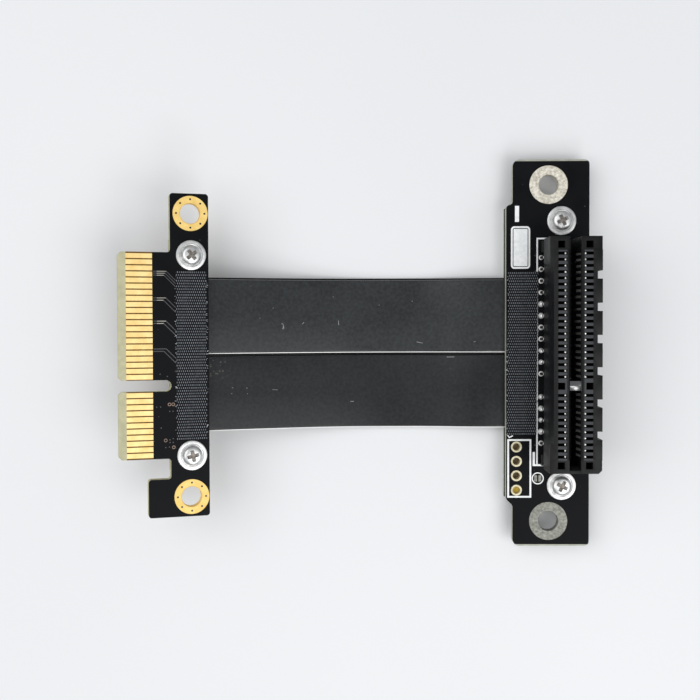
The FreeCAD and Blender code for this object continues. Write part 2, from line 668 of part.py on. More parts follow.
# Ribbons: two flat jackets swept along one course of straight runs and tangent arcs.
# The course runs from inside the socket sandwich to inside the plug sandwich.
def ribbon_course():
    tilt = math.radians(value("Sizes.plug_tilt"))
    dip = math.radians(value("Sizes.dip_angle"))
    level = value("Sizes.cover_thickness + Sizes.ribbon_thickness / 2")
    belly = value("Sizes.ribbon_thickness / 2")
    inset = value("Sizes.jacket_inset")
    dip_radius = value("Worked.dip_radius")
    rise_radius = value("Sizes.rise_radius")

    def bent(x, z, radius, angle, lift):
        """Point of an arc that starts level at x, z and turns up or down by an angle."""
        return Vector(x - radius * math.sin(angle), 0, z + lift * radius * (1 - math.cos(angle)))

    dip_start = -value("Sizes.socket_wide + Sizes.exit_run")
    belly_start = value("Worked.belly_start")
    rise_start = value("Worked.rise_start")
    jacket_start = Vector(-value("Sizes.socket_wide") + inset, 0, level)
    exit_end = Vector(dip_start, 0, level)
    dip_first_half = bent(dip_start, level, dip_radius, dip / 2, -1)
    dip_middle = bent(dip_start, level, dip_radius, dip, -1)
    dip_second_half = bent(belly_start, belly, dip_radius, -dip / 2, 1)
    dip_end = Vector(belly_start, 0, belly)
    belly_end = Vector(rise_start, 0, belly)
    rise_middle = bent(rise_start, belly, rise_radius, tilt / 2, 1)
    rise_end = bent(rise_start, belly, rise_radius, tilt, 1)
    run = value("Sizes.rise_run") + inset
    jacket_end = rise_end + Vector(-run * math.cos(tilt), 0, run * math.sin(tilt))
    return Part.Wire([
        Part.LineSegment(jacket_start, exit_end).toShape(),
        Part.Arc(exit_end, dip_first_half, dip_middle).toShape(),
        Part.Arc(dip_middle, dip_second_half, dip_end).toShape(),
        Part.LineSegment(dip_end, belly_end).toShape(),
        Part.Arc(belly_end, rise_middle, rise_end).toShape(),
        Part.LineSegment(rise_end, jacket_end).toShape()])


def make_ribbon(label, side, course):
    """One ribbon, its section standing at the start of the course."""
    width = value("Sizes.ribbon_width")
    thickness = value("Sizes.ribbon_thickness")
    edge = value("Sizes.ribbon_edge")
    start = course.Shape.Vertexes[0].Point
    middle = side * value("(Sizes.ribbon_width + Sizes.ribbon_gap) / 2")
    block = Part.makeBox(thickness, width, thickness,
                         start + Vector(-thickness, middle - width / 2, -thickness / 2))
    long_edges = [line for line in block.Edges if abs(line.tangentAt(0).x) > CLOSE]
    bevelled = block.makeChamfer(edge, long_edges)
    end_face = max(bevelled.Faces, key=lambda face: face.CenterOfMass.x)
    section = document.addObject("Part::Feature", label + "_section")
    section.Shape = end_face.OuterWire
    ribbon = document.addObject("Part::Sweep", label)
    ribbon.Label = label
    ribbon.Sections = [section]
    ribbon.Spine = (course, [f"Edge{number + 1}" for number in range(len(course.Shape.Edges))])
    ribbon.Transition = "Transformed"
    ribbon.Solid = True
    return ribbon


socket_ribbon_edge = "-Sizes.socket_wide"
course = document.addObject("Part::Feature", "ribbon_course")
course.Shape = ribbon_course()
nodes = [
    make_socket_cover_board(),
    make_standoffs(new_body("socket_standoffs"), "0", "Worked.socket_screw_y", "Sizes.cover_thickness"),
    make_wire_ends(new_body("socket_wire_ends"), f"{socket_ribbon_edge} + Sizes.jacket_inset", "+",
                   "Worked.socket_base"),
    make_socket_board(),
    make_slot_housing(),
    make_contacts("slot_contacts_left", "-1"),
    make_contacts("slot_contacts_right", "1"),
    make_tape(new_body("socket_cloth_tape"), f"{socket_ribbon_edge} + Sizes.socket_tape_inset", "+",
              "Worked.socket_top"),
    make_screws(new_body("socket_screws"), "0", "Worked.socket_screw_y", "Worked.socket_top"),
    make_ribbon("upper_ribbon", 1, course),
    make_ribbon("lower_ribbon", -1, course),
    make_plug_cover_board(),
    make_standoffs(new_plug_body("plug_standoffs"), "-Sizes.plug_screw_inset", "Worked.plug_screw_y",
                   "-Worked.plug_under"),
    make_wire_ends(new_plug_body("plug_wire_ends"), "-Sizes.jacket_inset", "-", "Worked.plug_under"),
    make_plug_board(),
    make_fingers("plug_contacts_top", "Worked.plug_top"),
    make_fingers("plug_contacts_bottom", "Worked.plug_under - Sizes.finger_thickness"),
    make_tape(new_plug_body("plug_cloth_tape"), "-Sizes.plug_tape_inset", "-", "Worked.plug_top"),
    make_screws(new_plug_body("plug_screws"), "-Sizes.plug_screw_inset", "Worked.plug_screw_y",
                "Worked.plug_top"),
]
document.recompute()

# Nothing is written unless every object is sound, every pocket cuts and every ribbon is its full length
for item in document.Objects:
    if "Invalid" in item.State or "Error" in item.State:
        raise RuntimeError(f"{item.Name} failed: {item.State}")
    if item.isDerivedFrom("PartDesign::Pocket") and item.Shape.Volume >= item.BaseFeature.Shape.Volume:
        raise RuntimeError(f"{item.Name} cuts nothing")
for node in nodes:
    if node.Shape.isNull() or not node.Shape.isValid() or not node.Shape.Solids:
        raise RuntimeError(f"{node.Label} has no sound solid")
    if node.TypeId == "Part::Sweep":
        section_area = Part.Face(node.Sections[0].Shape).Area
        expected = section_area * course.Shape.Length
        if abs(node.Shape.Volume - expected) > VOLUME_SHARE * expected:
            raise RuntimeError(f"{node.Label} has the wrong volume")

os.makedirs("parts", exist_ok=True)
for node in nodes:
    node.Shape.exportStep(f"parts/{node.Label}.step")
    print(node.Label, len(node.Shape.Solids), "solids", round(node.Shape.Volume, 3), "mm3")
print("ribbon course", round(course.Shape.Length, 2), "mm")
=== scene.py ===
import math
import random

import bmesh
import bpy
from mathutils import Matrix, Vector


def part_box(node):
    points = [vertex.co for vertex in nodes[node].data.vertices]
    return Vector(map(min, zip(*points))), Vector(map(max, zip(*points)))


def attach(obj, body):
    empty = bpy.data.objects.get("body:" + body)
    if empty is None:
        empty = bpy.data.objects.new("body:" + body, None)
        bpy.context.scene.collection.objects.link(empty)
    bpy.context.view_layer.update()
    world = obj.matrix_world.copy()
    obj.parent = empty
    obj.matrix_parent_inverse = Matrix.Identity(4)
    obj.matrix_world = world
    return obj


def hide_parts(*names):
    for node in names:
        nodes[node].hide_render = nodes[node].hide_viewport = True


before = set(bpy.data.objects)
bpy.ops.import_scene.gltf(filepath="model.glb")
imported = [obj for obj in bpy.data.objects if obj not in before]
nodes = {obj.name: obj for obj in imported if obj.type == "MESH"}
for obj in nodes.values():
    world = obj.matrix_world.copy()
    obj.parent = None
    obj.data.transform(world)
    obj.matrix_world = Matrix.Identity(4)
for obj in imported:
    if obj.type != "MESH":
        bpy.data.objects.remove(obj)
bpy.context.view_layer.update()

# Flat ribbon extension for a four-lane card slot, lying on a table and seen from above.
# Sizes are in millimetres on the board they belong to; each board's own frame turns them into metres.
MM = 0.001


# Cover boards: a bare strip of circuit board under each end, which clamps the ribbons.
# Glass cloth and resin under a black solder mask; the cut edges show the pale laminate.
# Each one is screwed up against the board above it through two standoffs.
def paint(*levels):
    """A colour as it looks on a screen, 0 to 255, in the shader's own measure."""
    shares = [level / 255 for level in levels]
    light = [share / 12.92 if share <= 0.04045 else ((share + 0.055) / 1.055) ** 2.4 for share in shares]
    return *light, 1.0


def add_node(tree, kind, inputs, **settings):
    """A shader node with its settings, and its inputs joined to other nodes or set."""
    node = tree.nodes.new(kind)
    for name, setting in settings.items():
        setattr(node, name, setting)
    for socket, source in inputs.items():
        if isinstance(source, bpy.types.NodeSocket):
            tree.links.new(source, node.inputs[socket])
        else:
            node.inputs[socket].default_value = source
    return node


def feed(tree, inputs, sources):
    """Joins what some nodes put out to the named inputs of another."""
    for socket, source in sources.items():
        tree.links.new(source, inputs[socket])


def surface_place(tree):
    """Where a point of the surface is, in metres."""
    return add_node(tree, "ShaderNodeTexCoord", {}).outputs["Object"]


def start_material(name, constants):
    """A new material with the inputs that are the same all over.

    Returns it, its tree, its inputs and where a point of its surface is."""
    material = bpy.data.materials.new(name)
    material.use_nodes = True
    surface = material.node_tree.nodes["Principled BSDF"].inputs
    for socket, amount in constants.items():
        surface[socket].default_value = amount
    return material, material.node_tree, surface, surface_place(material.node_tree)


def calculate(tree, operation, first, second=0.0):
    """The result of one sum on one or two values."""
    return add_node(tree, "ShaderNodeMath", {0: first, 1: second}, operation=operation).outputs[0]


def product(tree, first, *others):
    """Some values multiplied with one another."""
    for other in others:
        first = calculate(tree, "MULTIPLY", first, other)
    return first


def mix_paint(tree, share, *colours):
    """Two colours mixed by a mask, each from a node or as it looks on a screen."""
    first, second = (each if isinstance(each, bpy.types.NodeSocket) else paint(*each) for each in colours)
    return add_node(tree, "ShaderNodeMix", {0: share, 6: first, 7: second}, data_type="RGBA").outputs[2]


def spread(tree, value, low, high):
    """A value from 0 to 1 laid out between a low and a high one."""
    return add_node(tree, "ShaderNodeMapRange", {"Value": value, "To Min": low, "To Max": high}).outputs[0]


def noise_value(tree, place, scale, detail):
    """Uneven values over a surface."""
    inputs = {"Vector": place, "Scale": scale, "Detail": detail}
    return add_node(tree, "ShaderNodeTexNoise", inputs).outputs["Fac"]


def start_group(name, inputs, outputs):
    """A shared effect: its tree, what comes in and what goes out."""
    group = bpy.data.node_groups.new(name, "ShaderNodeTree")
    for way, sockets in (("INPUT", inputs), ("OUTPUT", outputs)):
        for socket in sockets:
            kind = "NodeSocketVector" if socket in ("Vector", "Normal") else "NodeSocketFloat"
            group.interface.new_socket(socket, in_out=way, socket_type=kind)
    entry = group.nodes.new("NodeGroupInput")
    leave = group.nodes.new("NodeGroupOutput")
    return group, entry.outputs, leave.inputs


def make_grain_group():
    """Fine unevenness of a surface, as a value and as a normal."""
    group, given, result = start_group(
        "surface_grain", ("Vector", "Scale", "Strength", "Depth"), ("Value", "Normal"))
    noise = noise_value(group, given["Vector"], given["Scale"], detail=5.0)
    bump = add_node(group, "ShaderNodeBump", {
        "Height": noise, "Strength": given["Strength"], "Distance": given["Depth"]})
    feed(group, result, {"Value": noise, "Normal": bump.outputs["Normal"]})
    return group


def make_dust_group():
    """Scattered specks: a mask of small round spots, of which only some cells hold one."""
    group, given, result = start_group("dust_specks", ("Vector", "Scale", "Share", "Size"), ("Mask",))
    cells = add_node(group, "ShaderNodeTexVoronoi", {"Vector": given["Vector"], "Scale": given["Scale"]})
    lot = add_node(group, "ShaderNodeSeparateColor", {"Color": cells.outputs["Color"]})
    chosen = calculate(group, "LESS_THAN", lot.outputs["Red"], given["Share"])
    reach = product(group, lot.outputs["Green"], given["Size"])
    inside = calculate(group, "LESS_THAN", cells.outputs["Distance"], reach)
    feed(group, result, {"Mask": product(group, chosen, inside)})
    return group


def make_clouds_group():
    """Slow, blotchy change over a surface, from 0 to 1."""
    group, given, result = start_group("slow_clouds", ("Vector", "Scale", "Contrast"), ("Value",))
    noise = noise_value(group, given["Vector"], given["Scale"], detail=3.0)
    stretched = product(group, calculate(group, "SUBTRACT", noise, 0.5), given["Contrast"])
    lifted = add_node(group, "ShaderNodeMath", {0: stretched, 1: 0.5}, operation="ADD", use_clamp=True)
    feed(group, result, {"Value": lifted.outputs[0]})
    return group


grain_group = make_grain_group()
dust_group = make_dust_group()
clouds_group = make_clouds_group()


def effect(tree, group, place, **amounts):
    """One shared effect, placed in a material with its own amounts."""
    inputs = {"Vector": place}
    for name, amount in amounts.items():
        inputs[name.title()] = amount
    return add_node(tree, "ShaderNodeGroup", inputs, node_tree=group).outputs


def dusted(tree, place, under, dust, cover, **amounts):
    """A colour with specks of dust scattered over it, each hiding a share of it."""
    specks = effect(tree, dust_group, place, **amounts)["Mask"]
    return mix_paint(tree, product(tree, specks, cover), under, dust)


def surface_facing(tree):
    """Which way the surface faces."""
    return add_node(tree, "ShaderNodeNewGeometry", {}).outputs["Normal"]


def part_of(tree, vector, axis):
    """One of a vector's three parts."""
    return add_node(tree, "ShaderNodeSeparateXYZ", {0: vector}).outputs[axis]


def along_way(tree, vector, way):
    """How far a vector reaches along a way."""
    node = add_node(tree, "ShaderNodeVectorMath", {0: vector, 1: way}, operation="DOT_PRODUCT")
    return node.outputs["Value"]


def make_board_material(name, up, tip_way, mask_end, card_half, laminate_dark, laminate_pale):
    """Black solder mask on the flat faces and pale laminate on the cut edges.

    On a card edge, past the end of the mask on the way to the tip, the flat faces are bare brown resin."""
    flat_share = 0.97
    edge_roughness = 0.8
    material, tree, surface, place = start_material(name, {"Specular IOR Level": 0.08})
    upright = calculate(tree, "ABSOLUTE", along_way(tree, surface_facing(tree), up))
    edge = calculate(tree, "LESS_THAN", upright, flat_share)
    past_mask = calculate(tree, "GREATER_THAN", along_way(tree, place, tip_way), mask_end)
    sideways = calculate(tree, "ABSOLUTE", part_of(tree, place, "Y"))
    unmasked = product(tree, past_mask, calculate(tree, "LESS_THAN", sideways, card_half))
    grain = effect(tree, grain_group, place, scale=2600.0, strength=0.16, depth=0.00003)
    clouds = effect(tree, clouds_group, place, scale=260.0, contrast=2.0)["Value"]
    layers = noise_value(tree, place, scale=900.0, detail=6.0)
    mask = mix_paint(tree, clouds, (7, 8, 10), (14, 15, 18))
    dusty = dusted(tree, place, mask, (104, 108, 112), cover=0.45, scale=1500.0, share=0.08, size=0.16)
    resin = mix_paint(tree, layers, (84, 57, 22), (128, 98, 50))
    flat = mix_paint(tree, unmasked, dusty, resin)
    laminate = mix_paint(tree, layers, laminate_dark, laminate_pale)
    gloss = spread(tree, clouds, 0.36, 0.48)
    dull_edge = product(tree, edge, edge_roughness)
    feed(tree, surface, {
        "Base Color": mix_paint(tree, edge, flat, laminate),
        "Roughness": calculate(tree, "MAXIMUM", gloss, dull_edge),
        "Normal": grain["Normal"]})
    return material


def finish_nodes(material, *names):
    """Gives some solids their finish."""
    for name in names:
        materials = nodes[name].data.materials
        materials.clear()
        materials.append(material)


plug_tilt = math.radians(18)
plug_up = (math.sin(plug_tilt), 0.0, math.cos(plug_tilt))
plug_tip_way = (-math.cos(plug_tilt), 0.0, math.sin(plug_tilt))
contacts_low, contacts_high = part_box("plug_contacts_top")
contact_root = Vector((contacts_high.x, 0.0, contacts_low.z)).dot(Vector(plug_tip_way))
beside_contacts = 1.0 * MM
socket_mask = make_board_material(
    "socket_solder_mask", (0.0, 0.0, 1.0), (-1.0, 0.0, 0.0), 0.0, 0.0, (146, 150, 136), (206, 206, 192))
plug_mask = make_board_material(
    "plug_solder_mask", plug_up, plug_tip_way, contact_root, contacts_high.y + beside_contacts,
    (158, 156, 126), (202, 199, 166))
finish_nodes(socket_mask, "socket_cover_board")
finish_nodes(plug_mask, "plug_cover_board")


# Standoffs: short threaded hexagons soldered on the cover boards, four in all.
# Turned from bar and nickel plated, so they are bright with fine turning marks.
def make_mottled_material(name, constants, tones, clouds, grain=None, roughness=None, blotchy_gloss=False):
    """Two tones in slow blotches. A grain adds fine unevenness and a gloss that follows it or the blotches.

    The clouds have a scale and a contrast, the grain has a scale, a strength and a depth."""
    scale, contrast = clouds
    material, tree, surface, place = start_material(name, constants)
    blotches = effect(tree, clouds_group, place, scale=scale, contrast=contrast)["Value"]
    feed(tree, surface, {"Base Color": mix_paint(tree, blotches, *tones)})
    if grain:
        scale, strength, depth = grain
        fine = effect(tree, grain_group, place, scale=scale, strength=strength, depth=depth)
        gloss = blotches if blotchy_gloss else fine["Value"]
        feed(tree, surface, {"Roughness": spread(tree, gloss, *roughness), "Normal": fine["Normal"]})
    return material


def make_metal_material(name, dark, pale, roughness, cloud_scale, bareness):
    """A plated or soldered metal; a dull skin of oxide or flux makes it less bare."""
    return make_mottled_material(
        name, {"Metallic": bareness}, (dark, pale), (cloud_scale, 2.4), (6000.0, 0.3, 0.00001), roughness)


nickel = make_metal_material("bright_nickel", (186, 186, 186), (230, 230, 229), (0.3, 0.44), 900.0, 0.9)
finish_nodes(nickel, "socket_standoffs", "plug_standoffs")


# Wire ends: the stripped copper ends of the ribbons' conductors, dipped in tin.
# They lie side by side and are soldered under the boards.
tin = make_metal_material("mottled_tin", (174, 169, 154), (238, 233, 219), (0.5, 0.64), 2600.0, 0.5)
finish_nodes(tin, "socket_wire_ends", "plug_wire_ends")


# Ribbons: two flat cables side by side in satin black jackets, with rounded edges.
# They leave the socket end level, dip to the table and rise to the plug, which leans up at the far end.
# The jackets are scuffed: light scratches, lint and a dusty patch near the plug.
def walk_course(stretches, start, step):
    """Points and headings along straight runs and arcs, each a length and a turn."""
    place, heading = Vector(start), math.pi
    course = [(place.copy(), heading)]
    for length, turn in stretches:
        count = max(1, math.ceil(length / step))
        for _ in range(count):
            middle = heading + turn / count / 2
            bow = turn / count / 2
            chord = length / count * (math.sin(bow) / bow if bow else 1.0)
            place = place + Vector((math.cos(middle) * chord, 0.0, math.sin(middle) * chord))
            heading += turn / count
            course.append((place.copy(), heading))
    return course


ribbon_width = 12.6
ribbon_thickness = 1.2
ribbon_gap = 0.5
ribbon_round = 0.33
clamped = 2.5
exit_run = 2.0
dip_angle = math.radians(10)
dip_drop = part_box("socket_cover_board")[1].z / MM
dip_radius = dip_drop / (2 * (1 - math.cos(dip_angle)))
belly_run = 4.1
rise_radius = 60.0
rise_run = 13.5
socket_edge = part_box("socket_board")[0].x / MM
ribbon_stretches = [
    (clamped + exit_run, 0.0),
    (dip_radius * dip_angle, dip_angle),
    (dip_radius * dip_angle, -dip_angle),
    (belly_run, 0.0),
    (rise_radius * plug_tilt, -plug_tilt),
    (rise_run, 0.0),
]
ribbon_start = (socket_edge + clamped, 0.0, dip_drop + ribbon_thickness / 2)
course_step = 0.35
plug_edge = walk_course(ribbon_stretches, ribbon_start, course_step)[-1][0]
ribbon_course = walk_course(ribbon_stretches + [(clamped, 0.0)], ribbon_start, course_step)
socket_frame = Matrix.Scale(MM, 4)
plug_frame = socket_frame @ Matrix.Translation(plug_edge) @ Matrix.Rotation(plug_tilt, 4, "Y")


def add_object(name, data):
    """A new object in the scene."""
    new = bpy.data.objects.new(name, data)
    bpy.context.scene.collection.objects.link(new)
    return new


def make_piece(name, shapes, place, material, smooth_angle=0, instead_of=()):
    """A piece of the part from some shapes, each points and faces, riding on the part's one body."""
    points, faces = [], []
    for more_points, more_faces in shapes:
        faces += [[len(points) + corner for corner in face] for face in more_faces]
        points += [place @ Vector(point) for point in more_points]
    mesh = bpy.data.meshes.new(name)
    mesh.from_pydata(points, [], faces)
    rough = bmesh.new()
    rough.from_mesh(mesh)
    bmesh.ops.recalc_face_normals(rough, faces=rough.faces)
    rough.to_mesh(mesh)
    rough.free()
    mesh.materials.append(material)
    if smooth_angle:
        mesh.polygons.foreach_set("use_smooth", [True] * len(mesh.polygons))
        mesh.set_sharp_from_angle(angle=math.radians(smooth_angle))
    piece = add_object(name, mesh)
    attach(piece, "root")
    if instead_of:
        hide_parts(*instead_of)
    return piece


def round_section(width, height, radius, steps):
    """Corners of a flat rectangle with round corners, going round once."""
    corners = []
    for quarter, (side, rise) in enumerate(((1, 1), (-1, 1), (-1, -1), (1, -1))):
        for number in range(steps + 1):
            angle = (quarter + number / steps) * math.pi / 2
            corners.append((side * (width / 2 - radius) + radius * math.cos(angle),
                            rise * (height / 2 - radius) + radius * math.sin(angle)))
    return corners


def skin(rings, closed=False):
    """A body through rings of points, capped at its ends or closed on itself; one point alone is a tip."""
    points, numbered = [], []
    for ring in rings:
        numbered.append(range(len(points), len(points) + len(ring)))
        points += ring
    faces = [] if closed else [tuple(ring) for ring in (numbered[0], numbered[-1]) if len(ring) > 1]
    count = max(len(ring) for ring in rings)
    following = numbered[1:] + (numbered[:1] if closed else [])
    for first, second in zip(numbered, following):
        for corner in range(count):
            follow = (corner + 1) % count
            corners = (first[corner % len(first)], first[follow % len(first)],
                       second[follow % len(second)], second[corner % len(second)])
            faces.append(tuple(dict.fromkeys(corners)))
    return points, faces


def sweep_strip(section, shift):
    """A section carried along the ribbons' course, at a distance to one side."""
    rings = []
    for place, heading in ribbon_course:
        up = Vector((math.sin(heading), 0.0, -math.cos(heading)))
        rings.append([place + up * rise + Vector((0.0, shift + across, 0.0)) for across, rise in section])
    return skin(rings)


def make_jacket_material(name, dark, pale):
    """Satin black jacket with faint drawing lines, rubbed patches, lint and one dusty patch."""
    dust_share = 0.55
    dust_patch = (-0.0596, -0.0022, 0.0069)
    dust_spread = (0.0032, 0.0028, 0.003)
    drawn_out = (0.04, 1.0, 1.0)
    material, tree, surface, place = start_material(
        name, {"Specular IOR Level": 0.22, "Coat Roughness": 0.2, "Coat IOR": 1.6})
    drawn = add_node(tree, "ShaderNodeMapping", {"Vector": place, "Scale": drawn_out}).outputs["Vector"]
    lines = effect(tree, grain_group, drawn, scale=2200.0, strength=0.12, depth=0.00004)
    rubbed = effect(tree, clouds_group, place, scale=95.0, contrast=2.6)["Value"]
    mottle = effect(tree, clouds_group, place, scale=1900.0, contrast=3.0)["Value"]
    share = product(tree, calculate(tree, "ADD", rubbed, mottle), 0.5)
    tone = mix_paint(tree, share, dark, pale)
    linty = dusted(tree, place, tone, (150, 150, 150), cover=0.4, scale=900.0, share=0.05, size=0.1)
    from_patch = add_node(
        tree, "ShaderNodeMapping", {"Vector": place, "Location": dust_patch, "Scale": dust_spread},
        vector_type="TEXTURE").outputs["Vector"]
    distance = add_node(tree, "ShaderNodeVectorMath", {0: from_patch}, operation="LENGTH").outputs["Value"]
    near = spread(tree, distance, 1.0, 0.0)
    flecks = effect(tree, dust_group, place, scale=2600.0, share=0.35, size=0.5)["Mask"]
    facing = surface_facing(tree)
    on_top = calculate(tree, "GREATER_THAN", part_of(tree, facing, "Z"), 0.0)
    dusty = product(tree, near, flecks, dust_share, on_top)
    sideways = calculate(tree, "ABSOLUTE", part_of(tree, facing, "Y"))
    flat_gloss = spread(tree, rubbed, 0.40, 0.52)
    edge_gloss = spread(tree, sideways, 1.0, 0.45)
    feed(tree, surface, {
        "Base Color": mix_paint(tree, dusty, linty, (138, 133, 122)),
        "Roughness": product(tree, flat_gloss, edge_gloss),
        "Coat Weight": sideways,
        "Normal": lines["Normal"]})
    return material


jacket_smooth = 40
ribbon_section = round_section(ribbon_width, ribbon_thickness, ribbon_round, 5)
ribbon_shift = (ribbon_width + ribbon_gap) / 2
# Both jackets are the same satin black; the upper one's paler tones are painted sheen and the lower one's
# darker tones painted shade.
for name, side, dark, pale in (
        ("upper_ribbon", 1, (24, 26, 28), (50, 53, 55)),
        ("lower_ribbon", -1, (13, 15, 16), (36, 39, 41))):
    shape = sweep_strip(ribbon_section, side * ribbon_shift)
    jacket = make_jacket_material(name + "_satin", dark, pale)
    make_piece(name + "_jacket", [shape], socket_frame, jacket, jacket_smooth, (name,))


# Seams: each jacket is a film folded round its wires. A narrow near-white lip runs along the lower edge,
# the film's pale lining, drawn near-white so that it is also a painted highlight there; a thin black strip
# along the upper edge is painted shade.
def lip_section(width, height, radius, lift):
    """A narrow strip's section, lifted off the middle of the ribbon."""
    return [(across, rise + lift) for across, rise in round_section(width, height, radius, 2)]


# Near-white lip: the film's pale lining, and also a painted highlight along the lower edge.
seam_and_highlight_film = make_mottled_material(
    "seam_and_highlight_film", {"Roughness": 0.4}, ((232, 232, 230), (253, 253, 252)), (300.0, 2.0))
seam_width = 0.24
seam_sunk = 0.17
seam_section = lip_section(seam_width, height=0.3, radius=0.06, lift=0.3)
# Black strip along each upper edge: painted shade in the gap between the ribbons and along the upper
# ribbon's top edge.
gap_shade_film = make_jacket_material("painted_gap_shade", (3, 3, 4), (9, 9, 10))
dark_sunk = 0.05
for name, side, dark_width in (("upper_ribbon", 1, 0.36), ("lower_ribbon", -1, 0.5)):
    lower_edge = side * ribbon_shift - ribbon_width / 2
    shape = sweep_strip(seam_section, lower_edge - seam_width / 2 + seam_sunk)
    make_piece(name + "_seam", [shape], socket_frame, seam_and_highlight_film, jacket_smooth)
    dark_section = lip_section(dark_width, height=0.12, radius=0.05, lift=-0.3)
    shape = sweep_strip(dark_section, lower_edge + ribbon_width + dark_width / 2 - dark_sunk)
    make_piece(name + "_shadow_strip", [shape], socket_frame, gap_shade_film, jacket_smooth)


# Scuffs and lint on the jackets: thin pale scratches pressed into the black, a hook of lint,
# and short fibres, each where the used cable shows one; the last, a thin pale line along the lower jacket's
# upper edge, is a painted highlight.
def stroke(points, width, low, high, closed=False):
    """A flat line of even width through some points, its corners mitred."""
    sharpest = 0.4
    corners = [Vector(point) for point in points]
    ways = [(after - before).normalized() for before, after in zip(corners, corners[1:] + corners[:1])]
    if not closed:
        ways[-1] = ways[-2]
    rings = []
    for number, corner in enumerate(corners):
        after = ways[number]
        before = ways[number - 1] if closed or number else after
        along = (before + after).normalized()
        across = Vector((-along.y, along.x)) * (width / 2 / max(along.dot(after), sharpest))
        left, right = corner + across, corner - across
        rings.append([(*left, low), (*right, low), (*right, high), (*left, high)])
    return skin(rings, closed)


def ribbon_top(x):
    """Height of the jackets' upper face at a place along the cable."""
    before, after = min(
        zip(ribbon_course, ribbon_course[1:]), key=lambda pair: abs(pair[0][0].x + pair[1][0].x - 2 * x))
    share = (x - before[0].x) / (after[0].x - before[0].x)
    slope = -math.cos(before[1])
    return before[0].z + share * (after[0].z - before[0].z) + ribbon_thickness / 2 / slope


# Each mark: where it starts, then its steps from there
mark_width = 0.09
mark_height = 0.012
scuff_and_highlight_marks = [
    [(-48.2, 5.3), (0.25, -0.15), (0.1, -0.45), (0.0, -0.4)],
    [(-47.95, 4.95), (0.02, -0.3), (-0.14, -0.3)], [(-38.4, 5.0), (-0.06, 0.8)],
    [(-44.7, 5.2), (0.3, 0.3)], [(-49.7, 7.9), (0.12, 0.08)], [(-51.9, 6.2), (0.14, 0.04)],
    [(-39.4, 9.9), (0.12, 0.05)], [(-31.4, 8.5), (0.15, 0.0)], [(-25.6, 9.1), (0.12, 0.06)],
    [(-24.75, 2.0), (0.55, -0.08), (0.5, -0.12)], [(-14.9, 2.0), (0.35, 0.05)],
    [(-49.8, -6.1), (0.85, -0.06)], [(-36.4, -8.4), (0.6, 0.02)], [(-54.0, -6.75), (0.12, 0.06)],
    [(-54.15, -5.7), (0.2, -0.06)], [(-56.5, -5.55), (0.2, -0.14)], [(-56.6, -6.65), (0.12, 0.04)],
    # This last mark, a thin pale line along the lower jacket's upper edge, is a painted highlight.
    [(-19.5, -0.64), (1.3, 0.02)],
]
mark_shapes = []
for start, *steps in scuff_and_highlight_marks:
    route = [Vector(start)]
    for step in steps:
        route.append(route[-1] + Vector(step))
    points, faces = stroke(route, mark_width, 0.0, mark_height)
    mark_shapes.append(([(x, y, z + ribbon_top(x) - mark_height / 2) for x, y, z in points], faces))
scuff_and_highlight_paint = make_mottled_material(
    "jacket_scuff_and_highlight", {"Roughness": 0.8}, ((92, 92, 93), (176, 176, 174)), (1800.0, 2.5))
make_piece("jacket_scuffs_and_highlight", mark_shapes, socket_frame, scuff_and_highlight_paint)


# Socket board: black circuit board under the slot, with jogs in its left edge and snapped ends.
# It was routed from a larger sheet with a round cutter, which left its corners and its upper jog rounded.
# Its copper runs show faintly as raised lines under the mask.
board_low, board_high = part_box("socket_board")
socket_top = board_high.z / MM
socket_base = board_low.z / MM
socket_end = board_high.y / MM
narrow_left = -8.36
left_round = 1.3
right_round = 0.9
cutter_spare = 0.5
cutter_low = socket_base - cutter_spare
cutter_high = socket_top + cutter_spare
cut_smooth = 32


def plate(outline, low, high):
    """A flat plate with the given outline."""
    return skin([[(x, y, level) for x, y in outline] for level in (low, high)])


def corner_waste(x, y, across, along, radius):
    """What the cutter takes off the board to round one corner, which points across and along."""
    steps = 10
    middle_x, middle_y = x - across * radius, y - along * radius
    beyond_x, beyond_y = x + across * cutter_spare, y + along * cutter_spare
    outline = [(beyond_x, beyond_y), (middle_x, beyond_y)]
    for number in range(steps + 1):
        angle = math.pi / 2 * number / steps
        outline.append((middle_x + across * radius * math.sin(angle),
                        middle_y + along * radius * math.cos(angle)))
    outline.append((beyond_x, middle_y))
    return plate(outline, cutter_low, cutter_high)


def cut_away(piece, cutter):
    """Takes the cutter out of a piece and removes the cutter."""
    bpy.context.view_layer.update()
    cut = piece.modifiers.new("recess", "BOOLEAN")
    cut.object = cutter
    cut.solver = "EXACT"
    evaluated = piece.evaluated_get(bpy.context.evaluated_depsgraph_get())
    mesh = bpy.data.meshes.new_from_object(evaluated)
    piece.modifiers.remove(cut)
    piece.data = mesh
    mesh.set_sharp_from_angle(angle=math.radians(cut_smooth))
    bpy.data.objects.remove(cutter)


def solid_mesh(name):
    """A working copy of a solid's mesh, with its doubled corners joined."""
    joined_within = 0.002 * MM
    rough = bmesh.new()
    rough.from_mesh(nodes[name].data)
    bmesh.ops.remove_doubles(rough, verts=rough.verts, dist=joined_within)
    return rough


def mesh_shape(rough):
    """The points and faces of a working mesh, which is then freed."""
    rough.verts.index_update()
    points = [vert.co.copy() for vert in rough.verts]
    faces = [tuple(vert.index for vert in face.verts) for face in rough.faces]
    rough.free()
    return points, faces


